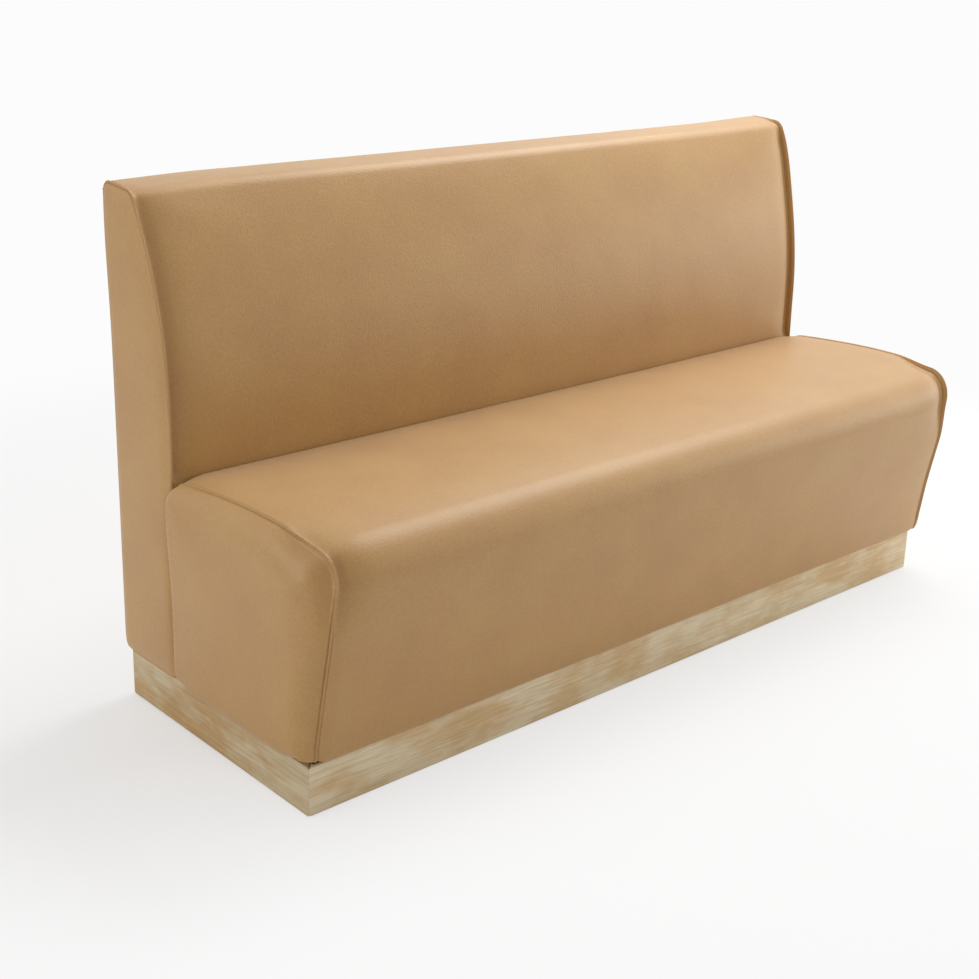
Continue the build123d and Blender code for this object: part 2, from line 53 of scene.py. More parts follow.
# The two upholstered units, as the CAD has them
seat_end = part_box("seat_cover_right")[1].x
unit_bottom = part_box("back_cover_front")[0].z
overall_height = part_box("back_cover_front")[1].z
front_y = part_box("seat_cover_main")[0].y
seat_rear_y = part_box("back_cover_front")[0].y
rear_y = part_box("back_cover_rear")[1].y
seat_rear_height = 450 * MM
seat_nose_height = 454 * MM
seat_top_slope = math.radians(7)
seat_rake = math.radians(11)
seat_nose_radius = 60 * MM
seat_rear_radius = 42 * MM
back_top_depth = 82 * MM
back_top_fall = 7 * MM
back_lean_start = 547 * MM
back_front_radius = 28 * MM
back_rear_radius = 20 * MM
foot_radius = 12 * MM
lining_top = 352 * MM
back_seam_height = overall_height - 25 * MM
cover_return = 26 * MM
leather_thickness = 1.3 * MM
cloth_thickness = 0.8 * MM
seat_frame_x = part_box("seat_end_panel_right")[1].x
back_frame_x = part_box("back_end_panel_right")[1].x
cross_rails = ("plinth_cross_rail_1", "plinth_cross_rail_2", "plinth_cross_rail_3")
glide_corners = ("front_left", "front_right", "rear_left", "rear_right")
# The bays between the cross rails, in X and in Y
open_bays = ((-0.778, -0.436), (-0.353, -0.042), (0.042, 0.353), (0.436, 0.778))
bay_front, bay_rear = -216 * MM, 274 * MM
bay_sag = 4 * MM
cloth_ripple, ripple_length = 0.25, 60 * MM

# How the leather lies over the foam
air_pressure, air_frames, air_quality, leather_bending = 4, 20, 5, 2
swell_limit = 4 * MM
swell_ease = 22 * MM
seat_seam_x = 794.5 * MM
back_seam_x = 806 * MM
seat_end_bulge = seat_end - seat_seam_x - 0.8 * swell_limit
back_end_bulge = 5 * MM
back_end_taper = 1 * MM
seat_edge, back_edge, boxed_edge = 56 * MM, 34 * MM, 20 * MM
seam_reach = 15 * MM
nose_pull = 8 * MM
nose_reach = 36 * MM
beside_reach = 9 * MM
nose_beside_reach = 14 * MM
back_end_share = 0.15
wave_height = 0.35 * MM
wave_length = 90 * MM
seat_rear_fill, rear_fill_place, rear_fill_reach = 11 * MM, 17 * MM, 14 * MM
seat_rear_lift, rear_lift_reach = 7 * MM, 90 * MM
foam_clearance = 3 * MM
foam_cover = 2 * MM
foam_step, foam_steps = 0.6 * MM, 30
foam_dome_ease = 2 * MM
foam_skin = (4 * MM, 22 * MM)

# Seams and topstitching
ridge_height, ridge_width = 1.8 * MM, 1.4 * MM
groove_depth, groove_width = 2.3 * MM, MM
seam_lean = 0.8
seam_strip = 1.5 * MM
stapled_strip = 14 * MM
resting_strip = 2 * MM
stapled_relief = 0.3
stitch_row = 3 * MM
stitch_pitch = 4.4 * MM
stitch_length = 3.4 * MM
thread_radius = 0.5 * MM
thread_sides = 6
outer_row_lean, inner_row_lean, first_stitch = 0.9, 0.15, 9 * MM
row_samples = 121
rear_row_inset, rear_row_step = 8 * MM, 5 * MM
# Stations along a stitch: place, width and lift, as shares of its half length and radius
thread_form = ((-1, 0.3, -1.2), (-0.7, 0.9, -0.1), (0, 1, 0.3), (0.7, 0.9, -0.1), (1, 0.3, -1.2))

# How finely the pieces are meshed
outline_step, even_columns, even_start = 6 * MM, 111, 32 * MM
air_step, air_columns, air_clear = 16 * MM, 101, 10 * MM
end_step, end_clear = 7 * MM, 13 * MM
panel_rings = np.array((0.15, 0.35, 0.6, 0.9, 1.3, 1.8, 2.4, 3.1, 4, 5.2, 6.8, 9.5)) * MM
near_seam = (0, 0.6, 1.1, 1.6, 2.1, 2.6, 3, 3.4, 4, 4.8, 6.2, 8.5, 11, 14, 18, 22, 27)
near_seam = np.array(near_seam) * MM
rear_seam_strip = 9 * MM
pad_cuts = (45 * MM, 18 * MM, 18 * MM)
pad_end_cuts = np.array((4, 9, 14, 20, 27, 35)) * MM
end_pad_step, end_pad_clear, end_pad_edge_step = 14 * MM, 16 * MM, 9 * MM
end_pad_rings = np.array((1, 2.5, 5, 9)) * MM
end_pad_wall = 6
dust_columns, dust_rows = 151, 31


# Rows of points and directions
def length_one(rows):
    """Each row, as long as 1."""
    return rows / np.linalg.norm(rows, axis=1)[:, None]


def at_x(x, rows):
    """Points or directions from rows of Y and Z, at x."""
    return np.column_stack((np.broadcast_to(x, len(rows)), rows))


# Side outlines. Each runs anticlockwise in Y and Z with the inside on its left.
def straight(start, end):
    """An edge along a line."""
    start, end = np.array(start), np.array(end)
    return {"start": start, "along": (end - start) / np.linalg.norm(end - start)}


def arched(centre, radius):
    """An edge along an arc that bulges outwards."""
    return {"centre": np.array(centre), "radius": radius}


def moved_in(edge, inset):
    """The edge, moved towards the inside."""
    if "radius" in edge:
        return arched(edge["centre"], edge["radius"] - inset)
    y, z = edge["along"]
    return {"start": edge["start"] + inset * np.array((-z, y)), "along": edge["along"]}


def foot_on(edge, point):
    """The point of an edge that is nearest to a point."""
    if "radius" in edge:
        away = point - edge["centre"]
        return edge["centre"] + away / np.linalg.norm(away) * edge["radius"]
    return edge["start"] + edge["along"] * np.dot(point - edge["start"], edge["along"])


def meeting(one, other, corner):
    """Where two edges meet, next to a corner."""
    if "radius" in one:
        one, other = other, one
    if "radius" not in other:
        sides = np.array((one["along"], -other["along"])).T
        share = np.linalg.solve(sides, other["start"] - one["start"])[0]
        return one["start"] + one["along"] * share
    middle = foot_on(one, other["centre"])
    reach = math.sqrt(max(other["radius"] ** 2 - np.sum((middle - other["centre"]) ** 2), 0))
    found = [middle + one["along"] * side * reach for side in (-1, 1)]
    return min(found, key=lambda point: np.linalg.norm(point - corner))


def sweep(centre, start, end, spacing):
    """Points along an arc from start to end, anticlockwise, without its end."""
    first, last = (math.atan2(*(point - centre)[::-1]) for point in (start, end))
    turn = (last - first) % math.tau
    radius = np.linalg.norm(start - centre)
    count = max(3, math.ceil(turn * radius / spacing))
    angles = first + turn * np.arange(count) / count
    return centre + radius * np.column_stack((np.cos(angles), np.sin(angles)))


def traced(corners, arcs, inset, spacing):
    """Points round an outline whose corners are given as a point and a radius. A radius of 0
    is a smooth join. The edges between them are straight, apart from the arcs, which are
    given by the number of the corner that they start from."""
    ends = [corner for corner, _ in corners]
    edges = [arcs.get(k) or straight(*pair) for k, pair in enumerate(zip(ends, ends[1:] + ends))]
    joints = []
    for k, (corner, radius) in enumerate(corners):
        before, after = moved_in(edges[k - 1], inset), moved_in(edges[k], inset)
        if radius:
            radius = radius * radius / (radius + inset)
            centre = meeting(moved_in(before, radius), moved_in(after, radius), corner)
        else:
            centre = foot_on(after, corner)
        joints.append((centre, foot_on(before, centre), foot_on(after, centre)))
    points = []
    for k, edge in enumerate(edges):
        centre, start, end = joints[k]
        target = joints[(k + 1) % len(edges)][1]
        if corners[k][1]:
            points.append(sweep(centre, start, end, spacing / 2))
        if "radius" in edge:
            points.append(sweep(edge["centre"], end, target, spacing))
        else:
            count = math.ceil(np.linalg.norm(target - end) / spacing)
            points.append(end + np.outer(np.arange(count) / count, target - end))
    return np.concatenate(points)


def seat_front_line(z):
    """Y of the seat's raked front at height z."""
    half_angle = (math.pi / 2 - seat_rake + seat_top_slope) / 2
    along_top = seat_nose_radius / math.tan(half_angle)
    rise = along_top * math.sin(seat_top_slope) - seat_nose_radius * math.cos(seat_top_slope)
    foremost = seat_nose_radius * (1 - 1 / math.cos(seat_rake))
    return front_y + foremost + (seat_nose_height + rise - z) * math.tan(seat_rake)


def seat_outline(inset, spacing):
    """Side view of the seat unit."""
    rear_foot, rear_top = (seat_rear_y, unit_bottom), (seat_rear_y, seat_rear_height)
    front_top = (seat_front_line(seat_nose_height), seat_nose_height)
    front_foot = (seat_front_line(unit_bottom), unit_bottom)
    chord = np.subtract(rear_top, front_top)
    down = np.array((math.sin(seat_top_slope), -math.cos(seat_top_slope)))
    radius = chord @ chord / (2 * down @ chord)
    corners = (
        (front_foot, foot_radius),
        (rear_foot, foot_radius),
        (rear_top, seat_rear_radius),
        (front_top, seat_nose_radius),
    )
    return traced(corners, {2: arched(front_top + down * radius, radius)}, inset, spacing)


def back_outline(inset, spacing):
    """Side view of the back unit."""
    rise = overall_height - back_lean_start
    lean = rear_y - seat_rear_y - back_top_depth
    radius = (rise * rise + lean * lean) / (2 * lean)
    front_foot, rear_foot = (seat_rear_y, unit_bottom), (rear_y, unit_bottom)
    rear_top = (rear_y, overall_height)
    front_top = (rear_y - back_top_depth, overall_height - back_top_fall)
    corners = (
        (front_foot, foot_radius),
        (rear_foot, foot_radius),
        (rear_top, back_rear_radius),
        (front_top, back_front_radius),
        ((seat_rear_y, back_lean_start), 0),
    )
    centre = (seat_rear_y + radius, back_lean_start)
    return traced(corners, {3: arched(centre, radius)}, inset, spacing)


def inward(loop):
    """Unit normals of a loop, towards its inside."""
    along = length_one(np.roll(loop, -1, 0) - np.roll(loop, 1, 0))
    return np.column_stack((-along[:, 1], along[:, 0]))


# The form of the leather over a side outline
def smooth_step(value, start, end):
    """0 at start and 1 at end, whichever is higher, with an even turn between them."""
    share = np.clip((value - start) / (end - start), 0, 1)
    return share * share * (3 - 2 * share)


def fade(distance, reach):
    """1 at no distance, fading out over reach."""
    return np.exp(-((distance / reach) ** 2))


def rise_to_full(share):
    """Bulge of a stuffed edge, from 0 at the seam to 1 a full width in."""
    share = np.clip(share, 0, 1)
    return (1 - (1 - share) ** 2.4) ** 0.7


def seat_edge_width(y, z):
    """Width of the stuffed edge of the seat's end panel next to a place on its outline.
    The rear corner is boxed and the nose is slack."""
    rear = smooth_step(y, seat_rear_y - 60 * MM, seat_rear_y)
    front = smooth_step(y, front_y + 160 * MM, front_y + 20 * MM)
    low = smooth_step(z, unit_bottom + 70 * MM, unit_bottom)
    nose = smooth_step(z, 220 * MM, 400 * MM)
    width = seat_edge + front * (60 * nose - 4) * MM
    width += (boxed_edge - width) * rear
    return width + (boxed_edge - width) * low * (1 - rear)


def back_edge_width(y, z):
    """Width of the stuffed edge of the back's end panel next to a place on its outline."""
    return back_edge - 16 * MM * smooth_step(y, rear_y - 40 * MM, rear_y) + 0 * z


def seat_seam_pull(y, z):
    """How far the seat's seams pull in the leather on them, the whole corner of the nose and
    the slack leather beside them. They don't where the leather is stapled or lies on the back
    unit."""
    front = smooth_step(y, front_y + 150 * MM, front_y + 50 * MM)
    free = smooth_step(y, seat_rear_y, seat_rear_y - 30 * MM)
    free *= smooth_step(z, unit_bottom, unit_bottom + 50 * MM)
    nose = front * smooth_step(z, 310 * MM, 400 * MM) * free
    beside = (0.6 * free + 1.6 * front * free + 9 * nose) * MM
    return (1.2 + front) * MM * free, nose_pull * nose, beside


def back_seam_pull(y, z):
    """How far the back's seams pull in the leather on them, most of all beside the seat, and
    the leather beside them."""
    front = smooth_step(y, rear_y - 40 * MM, rear_y - 80 * MM)
    low = front * smooth_step(z, seat_rear_height - 5 * MM, seat_rear_height - 40 * MM)
    low *= smooth_step(z, unit_bottom + 10 * MM, unit_bottom + 50 * MM)
    high = front * smooth_step(z, seat_rear_height - 30 * MM, seat_rear_height + 20 * MM)
    beside = 11.5 * MM * high * (1 - 0.5 * smooth_step(z, 870 * MM, 915 * MM))
    return (1 + 6 * low) * MM, 0 * z, beside


# Pushes that take the leather and foam at a unit's ends out of the even form. Each has its
# share at the left and at the right end, its place in Y and Z, its reach and its depth
# towards the middle in mm, and how far it goes outwards, along Y and up, in mm.
seat_pushes = (
    # Tucked at the bottom corners
    (1, 0.5, (seat_front_line(unit_bottom) + 16 * MM, unit_bottom), 28, 16, (-6, 3, 8)),
    (1, 1, (seat_rear_y, unit_bottom), 24, 24, (-5, -3, 9)),
    # Square along the back unit
    (1, 1, (seat_rear_y, seat_rear_height - 60 * MM), 90, 30, (6, 0, 0)),
    # The whole right end is fuller
    (0, 1, (-90 * MM, 300 * MM), 500, 90, (7, 0, 0)),
    # A dent at the left end of the nose, and a full nose at the right end
    (1, 0, (front_y + 16 * MM, 428 * MM), 30, 30, (-7, 6, -4)),
    (0, 1, (seat_front_line(seat_nose_height), seat_nose_height), 100, 60, (3, 4, 6)),
    (0, 1, (front_y + 150 * MM, 455 * MM), 220, 70, (0, 0, 4)),
    # Fuller low at the right end of the front
    (0, 1, (seat_front_line(110 * MM), 110 * MM), 75, 60, (6, -3, 0)),
)
back_pushes = (
    # Tucked at the bottom corners
    (1, 1, (seat_rear_y, unit_bottom), 16, 16, (-3, 3, 6)),
    (1, 1, (rear_y, unit_bottom), 18, 18, (-1.5, -1, 3)),
    # The top left end is lower, and wider at the rear
    (1, 0, (seat_rear_y + 125 * MM, overall_height), 110, 100, (0, 0, -4.5)),
    (1, 0, (rear_y, 850 * MM), 130, 40, (4, 0, 0)),
    # The right end is full at the top and narrow where the lean starts
    (0, 1, (seat_rear_y + 125 * MM, 890 * MM), 115, 120, (14, -8, 5)),
    (0, 1, (seat_rear_y + 20 * MM, 560 * MM), 180, 60, (-5, 0, 0)),
)


def pushed(points, inside, pushes):
    """How far pushes move points that lie inside a unit's end seams."""
    moves = np.zeros_like(points)
    for left, right, place, reach, depth, move in pushes:
        away = at_x(inside / (depth * MM), (points[:, 1:] - place) / (reach * MM))
        share = np.exp(-(away * away).sum(1)) * np.where(points[:, 0] > 0, right, left)
        out, along, up = np.array(move) * MM
        way = at_x(np.sign(points[:, 0]) * out, np.tile((along, up), (len(points), 1)))
        moves += share[:, None] * way
    return moves


def seat_moves(points, inside):
    """How the seat's leather and foam leave the even form: pushed at the ends, and filled out
    into the corner with the back unit."""
    moves = pushed(points, inside, seat_pushes)
    toward = (seat_rear_y, seat_rear_height) - points[:, 1:]
    gap = np.maximum(np.linalg.norm(toward, axis=1), MM)
    middle = smooth_step(inside, -30 * MM, 50 * MM)
    fill = seat_rear_fill * fade(gap - rear_fill_place, rear_fill_reach) * middle
    moves[:, 1:] += toward / gap[:, None] * fill[:, None]
    moves[:, 2] += seat_rear_lift * fade(gap, rear_lift_reach) * middle
    return moves


def back_moves(points, inside):
    """How the back's leather and foam leave the even form: pushed at the ends, and narrower
    towards the rear. On the rear board the leather can't sink in."""
    moves = pushed(points, inside, back_pushes)
    on_board = smooth_step(points[:, 1], rear_y - 50 * MM, rear_y - 5 * MM)
    moves[:, 1] = np.maximum(moves[:, 1], moves[:, 1] * (1 - on_board))
    ends = smooth_step(inside, 60 * MM, 0)
    rearward = smooth_step(points[:, 1], seat_rear_y, rear_y)
    moves[:, 0] -= np.sign(points[:, 0]) * back_end_taper * ends * rearward
    return moves


def depth_in(loop, places):
    """How far each place is from a loop, the nearest place on the loop and the number of
    the loop's point next to it."""
    tree = KDTree(len(loop))
    for i, (y, z) in enumerate(loop):
        tree.insert((0, y, z), i)
    tree.balance()
    number = np.array([tree.find((0, y, z))[1] for y, z in places])
    depth, foot = np.full(len(places), np.inf), loop[number]
    for start in (number - 1, number):
        first, along = loop[start], loop[(start + 1) % len(loop)] - loop[start]
        share = np.clip(((places - first) * along).sum(1) / (along * along).sum(1), 0, 1)
        there = first + along * share[:, None]
        gap = np.linalg.norm(places - there, axis=1)
        foot = np.where((gap < depth)[:, None], there, foot)
        depth = np.minimum(depth, gap)
    return depth, foot, number


def seat_held(point):
    """The seat's cover is stapled under the frame and lies on the back unit."""
    return point[2] < unit_bottom + stapled_strip or point[1] > seat_rear_y - resting_strip


def back_held(point):
    """The back's cover is stapled under the frame, lies on its rear board and on the seat."""
    on_seat = point[1] < seat_rear_y + resting_strip and point[2] < seat_rear_height - 40 * MM
    on_board = point[1] > rear_y - resting_strip
    return point[2] < unit_bottom + stapled_strip or on_board or on_seat


# Meshes
def placed(name, data):
    """A new object in the scene."""
    made = bpy.data.objects.new(name, data)
    bpy.context.scene.collection.objects.link(made)
    return made


def mesh_object(name, points, faces):
    """A new object from points and faces, with smooth shading."""
    mesh = bpy.data.meshes.new(name)
    mesh.from_pydata([tuple(point) for point in points], [], [tuple(face) for face in faces])
    mesh.shade_smooth()
    return placed(name, mesh)


def band(loop, columns):
    """The part of a cover that goes round a unit: its points over X and round the loop."""
    count = len(loop)
    points = np.array([(x, y, z) for x in columns for y, z in loop])
    faces = []
    for here in range(0, count * (len(columns) - 1), count):
        for i in range(count):
            after = (i + 1) % count
            faces.append((here + i, here + after, here + count + after, here + count + i))
    return points, faces


def panel(loop, rings, spacing, clear):
    """Places and triangles of an end panel: its edge, rings inside it and an even field."""
    inside = inward(loop)
    low, high = loop.min(0), loop.max(0)
    pitch = spacing * math.sqrt(3) / 2
    field = np.array(
        [
            (low[0] + (i + row % 2 / 2) * spacing, low[1] + row * pitch)
            for row in range(int((high[1] - low[1]) / pitch) + 1)
            for i in range(int((high[0] - low[0]) / spacing) + 1)
        ]
    )
    depth, foot, number = depth_in(loop, field)
    kept = (depth > clear) & (((field - foot) * inside[number]).sum(1) > 0)
    places = np.concatenate([loop] + [loop + inside * ring for ring in rings] + [field[kept]])
    rim = [(i, (i + 1) % len(loop)) for i in range(len(loop))]
    found = geometry.delaunay_2d_cdt([Vector(p) for p in places], rim, [], 1, MM / 100)
    return np.array([tuple(p) for p in found[0]]), [tuple(face) for face in found[2]]


def normals(points, faces):
    """Unit normals at the points of a mesh."""
    out = np.zeros_like(points)
    for face in faces:
        corners = points[list(face)]
        out[list(face)] += np.cross(corners[1] - corners[0], corners[-1] - corners[0])
    return out / np.maximum(np.linalg.norm(out, axis=1)[:, None], 1e-12)


def cut_out(points, faces, kept):
    """The kept faces, and only the points that they use."""
    faces = [face for face, keep in zip(faces, kept) if keep]
    used = sorted({i for face in faces for i in face})
    number = {old: new for new, old in enumerate(used)}
    return points[used], [tuple(number[i] for i in face) for face in faces]


# Air in the covers
def blown_up(name, points, faces, held):
    """Pressure swells a closed cover that is held at its seams and staples, as foam does.
    It gives the form before and after, both with one subdivision, and its triangles."""
    made = mesh_object(name, points, faces)
    moved = np.zeros_like(points)
    made.vertex_groups.new(name="held").add([int(i) for i in held], 1, "REPLACE")
    cloth = made.modifiers.new("Cloth", "CLOTH")
    cloth.settings.quality = air_quality
    cloth.settings.use_pressure = True
    cloth.settings.uniform_pressure_force = air_pressure
    cloth.settings.vertex_group_mass = "held"
    cloth.settings.effector_weights.gravity = 0
    cloth.settings.bending_stiffness = leather_bending
    for step in range(1, air_frames + 1):
        bpy.context.scene.frame_set(step)
    shown = made.evaluated_get(bpy.context.evaluated_depsgraph_get()).to_mesh()
    moved = np.array([vertex.co for vertex in shown.vertices]) - points
    made.modifiers.remove(cloth)
    bpy.context.scene.frame_set(1)
    size = np.linalg.norm(moved, axis=1)[:, None]
    print(name, "swells", round(size.max() / MM, 1), "mm before its limit")
    moved *= swell_limit * np.tanh(size / swell_ease) / np.maximum(size, 1e-9)
    forms = []
    for form in (points, points + moved):
        for vertex, place in zip(made.data.vertices, form):
            vertex.co = place
        finer = made.modifiers.new("Finer", "SUBSURF")
        finer.levels = 1
        depsgraph = bpy.context.evaluated_depsgraph_get()
        depsgraph.update()
        shown = made.evaluated_get(depsgraph).to_mesh()
        forms.append([vertex.co.copy() for vertex in shown.vertices])
        shown.calc_loop_triangles()
        triangles = [tuple(triangle.vertices) for triangle in shown.loop_triangles]
        made.modifiers.remove(finer)
    bpy.data.objects.remove(made)
    return forms[0], forms[1], triangles


def seam_form(distance):
    """Height of the leather near a seam: the turned-in edges make a low ridge on the seam,
    and the topstitching pulls a groove on each side of it."""
    groove = groove_depth * fade(distance - stitch_row, groove_width)
    return ridge_height * fade(distance, ridge_width) - groove


class Unit:
    """One upholstered unit: its side outline, and how its leather lies over the foam."""

    def __init__(
        self, name, outline, seam_x, edge_width, bulge, seam_pull, moves, held, rear_seam=None
    ):
        self.name, self.outline, self.seam_x, self.moves = name, outline, seam_x, moves
        self.edge_width, self.bulge, self.rear_seam = edge_width, bulge, rear_seam
        self.end_share = back_end_share if rear_seam else 1
        even = np.linspace(even_start - seam_x, seam_x - even_start, even_columns)
        self.columns = np.concatenate((near_seam - seam_x, even, (seam_x - near_seam)[::-1]))
        self.loop = outline(0, outline_step)
        if rear_seam:
            self.loop = self.with_rear_seam(self.loop)
        flat = -inward(self.loop)
        self.out = at_x(0.0, flat)
        self.seam_out = length_one(at_x(seam_lean, flat))
        self.seam_pull, self.nose_pull, self.beside = seam_pull(*self.loop.T)
        self.before, self.after, self.triangles = self.swell(held)
        self.tree = BVHTree.FromPolygons(self.before, self.triangles)
        self.covers = {0: self.round_cover(), -1: self.end_cover(-1), 1: self.end_cover(1)}
        points, faces = [], []
        for part, part_faces in self.covers.values():
            faces += [[i + len(points) for i in face] for face in part_faces]
            points += [tuple(point) for point in part]
        self.skin = BVHTree.FromPolygons(points, faces)

    def with_rear_seam(self, loop):
        """The loop with closer points round the seam across its rear."""
        near = near_seam[near_seam < rear_seam_strip]
        heights = {self.rear_seam + side * step for step in near for side in (-1, 1)}
        on_rear = loop[:, 0] > rear_y - MM / 10
        away = ~on_rear | (np.abs(loop[:, 1] - self.rear_seam) > rear_seam_strip)
        first = int(np.argmax(on_rear & (loop[:, 1] > self.rear_seam - rear_seam_strip)))
        added = [(rear_y, height) for height in sorted(heights)]
        return np.concatenate((loop[:first][away[:first]], added, loop[first:][away[first:]]))

    def bulged(self, loop, places, side, inset=0):
        """Points of an end panel over places in Y and Z, with how far they are from the seam
        and the number of the outline's point next to them."""
        depth, foot, number = depth_in(loop, places)
        out = self.bulge * rise_to_full((depth + inset) / self.edge_width(*foot.T)) - inset
        return at_x(side * (self.seam_x + out), places), np.hypot(depth, out), number

    def swell(self, held):
        """Blows up a coarse closed cover of the unit."""
        loop = self.outline(0, air_step)
        points, faces = band(loop, np.linspace(-self.seam_x, self.seam_x, air_columns))
        count, last = len(loop), len(points) - len(loop)
        fixed = {i for i, point in enumerate(points) if held(point)}
        fixed |= {first + i for first in (0, last) for i in range(count)}
        places, triangles = panel(loop, (), air_step, air_clear)
        for side, first in ((-1, 0), (1, last)):
            start = len(points) - count
            points = np.concatenate((points, self.bulged(loop, places, side)[0][count:]))
            for triangle in triangles:
                corners = [first + i if i < count else start + i for i in triangle]
                faces.append(corners[::side])
        return blown_up(self.name + "_air", points, faces, sorted(fixed))

    def blown(self, points):
        """Where the swelling takes each point."""
        out = np.array(points, float)
        for k, point in enumerate(points):
            place, _, index, _ = self.tree.find_nearest(Vector(point))
            corners = self.triangles[index]
            before = [self.before[i] for i in corners]
            after = [self.after[i] for i in corners]
            went = geometry.barycentric_transform(place, *before, *after)
            out[k] += np.array(went - place)
        return out

    def moved(self, points):
        """How far the unit's own unevenness moves each point."""
        return self.moves(points, np.maximum(self.seam_x - np.abs(points[:, 0]), 0))

    def settled(self, points, distance, number, out):
        """Where the points of the leather lie: blown up, pulled in by the seams, with the
        seams' form and faint waves. distance is how far they are from the nearest end seam."""
        seam = self.seam_out[number] * at_x(np.sign(points[:, 0]), np.ones((len(points), 2)))
        pull = self.seam_pull[number] * fade(distance, seam_reach)
        pull += self.nose_pull[number] * fade(distance, nose_reach)
        slack = np.clip(self.nose_pull[number] / nose_pull, 0, 1)
        beside = distance / (beside_reach + (nose_beside_reach - beside_reach) * slack)
        round_it = np.abs(points[:, 0]) < self.seam_x - MM / 100
        share = np.where(round_it, 1, self.end_share)
        beside = self.beside[number] * beside * np.exp(1 - beside) * share
        near = fade(distance, seam_strip)[:, None]
        waves = [noise.noise(Vector(point) / wave_length) for point in points]
        lift = seam_form(distance) + wave_height * np.array(waves) * (1 - near[:, 0])
        lift *= np.where(points[:, 2] < unit_bottom + MM, stapled_relief, 1)
        if self.rear_seam:
            across = seam_form(np.abs(points[:, 2] - self.rear_seam))
            lift += np.where(points[:, 1] > rear_y - MM, across, 0) * (1 - near[:, 0])
        lift = (out * (1 - near) + seam * near) * lift[:, None] - out * beside[:, None]
        return self.blown(points) - seam * pull[:, None] + lift + self.moved(points)

    def round_cover(self):
        """The covers that go round the unit, in one piece."""
        points, faces = band(self.loop, self.columns)
        number = np.tile(np.arange(len(self.loop)), len(self.columns))
        distance = self.seam_x - np.abs(points[:, 0])
        return self.settled(points, distance, number, self.out[number]), faces

    def end_cover(self, side):
        """The cover of one end."""
        places, faces = panel(self.loop, panel_rings, end_step, end_clear)
        points, distance, number = self.bulged(self.loop, places, side)
        faces = [face[::side] for face in faces]
        return self.settled(points, distance, number, normals(points, faces)), faces

    def stitch_path(self, side, on_end):
        """The path of a row of topstitching beside an end seam, and the way it faces."""
        inside, number = inward(self.loop), np.arange(len(self.loop))
        if on_end:
            depth = np.linspace(0, 2 * stitch_row, row_samples)
            share = depth / self.edge_width(*self.loop.T)[:, None]
            out = self.bulge * rise_to_full(share)
            first = np.argmax(np.hypot(depth, out) >= stitch_row, axis=1)
            depth, out = depth[first], out[number, first]
            path = at_x(side * (self.seam_x + out), self.loop + inside * depth[:, None])
            facing = length_one(at_x(outer_row_lean * side, -inside))
        else:
            path = at_x(side * (self.seam_x - stitch_row), self.loop)
            facing = length_one(at_x(inner_row_lean * side, -inside))
        path = self.settled(path, np.full(len(path), stitch_row), number, facing)
        shown = self.loop[:, 1] > unit_bottom + first_stitch
        start = int(np.argmax(shown & ~np.roll(shown, 1)))
        shown, path, facing = (np.roll(row, -start, 0) for row in (shown, path, facing))
        return path[shown], facing[shown]


# Pieces
def dressed(name, points, faces, stuff, replaced):
    """A piece of leather or cloth in place of a CAD node. stuff is its real thickness, its
    finish and its slot; the slot is not used."""
    thickness, finish, slot = stuff
    made = mesh_object(name, points, faces)
    solid = made.modifiers.new("Thickness", "SOLIDIFY")
    solid.thickness = thickness
    solid.offset = -1
    made.data.materials.append(finish)
    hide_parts(replaced)
    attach(made, "bench")
    return made


def stitched(name, path, facing):
    """Topstitching: one short arched piece of thread after another along a path."""
    steps = np.linalg.norm(np.diff(path, axis=0), axis=1)
    along = np.concatenate(([0], np.cumsum(steps)))
    at = np.arange(stitch_pitch, along[-1] - stitch_pitch, stitch_pitch)
    place, ahead, up = (
        np.column_stack([np.interp(at + on, along, row[:, k]) for k in range(3)])
        for row, on in ((path, 0), (path, stitch_pitch / 4), (facing, 0))
    )
    run = length_one(ahead - place)
    side = length_one(np.cross(run, up))
    up = np.cross(side, run)
    points, faces = [], []
    for k in range(len(at)):
        first = len(points)
        for station, width, lift in thread_form:
            middle = place[k] + run[k] * station * stitch_length / 2 + up[k] * lift * thread_radius
            for turn in range(thread_sides):
                angle = turn / thread_sides * math.tau
                reach = side[k] * math.cos(angle) + up[k] * math.sin(angle)
                points.append(middle + reach * width * thread_radius)
        last = len(points) - thread_sides
        for ring in range(first, last, thread_sides):
            for turn in range(thread_sides):
                a, b = ring + turn, ring + (turn + 1) % thread_sides
                faces.append((a, b, b + thread_sides, a + thread_sides))
        faces.append([first + turn for turn in reversed(range(thread_sides))])
        faces.append([last + turn for turn in range(thread_sides)])
    made = mesh_object(name, points, faces)
    made.data.materials.append(thread)
    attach(made, "bench")
    return made


def pressed_in(unit, places):
    """Places in Y and Z, moved to at least the foam's clearance inside the outline."""
    depth, foot, number = depth_in(unit.loop, places)
    inside = inward(unit.loop)[number]
    under = ((places - foot) * inside).sum(1) > 0
    outside = ~under | (depth < foam_clearance)
    return np.where(outside[:, None], foot + inside * foam_clearance, places)


def kept_covered(unit, points, number, panel_x):
    """Moves points of foam in from the seams until the leather lies over them. Up to the end
    panel they also move along X."""
    for point, nearest in zip(points, number):
        side = math.copysign(1, point[0])
        for _ in range(foam_steps):
            place, facing, _, _ = unit.skin.find_nearest(Vector(point))
            if (place - Vector(point)).dot(facing) > foam_cover:
                break
            beyond = abs(point[0]) > panel_x
            way = unit.seam_out[nearest] if beyond else unit.out[nearest]
            point -= foam_step * way * (side, 1, 1)
            if beyond:
                point[0] = side * max(side * point[0], panel_x)


def padded(node, mesh):
    """Shows a mesh of foam in place of a CAD pad."""
    made = placed(node + "_pad", mesh)
    made.data.materials.clear()
    made.data.materials.append(foam)
    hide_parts(node)
    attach(made, "bench")
    return made


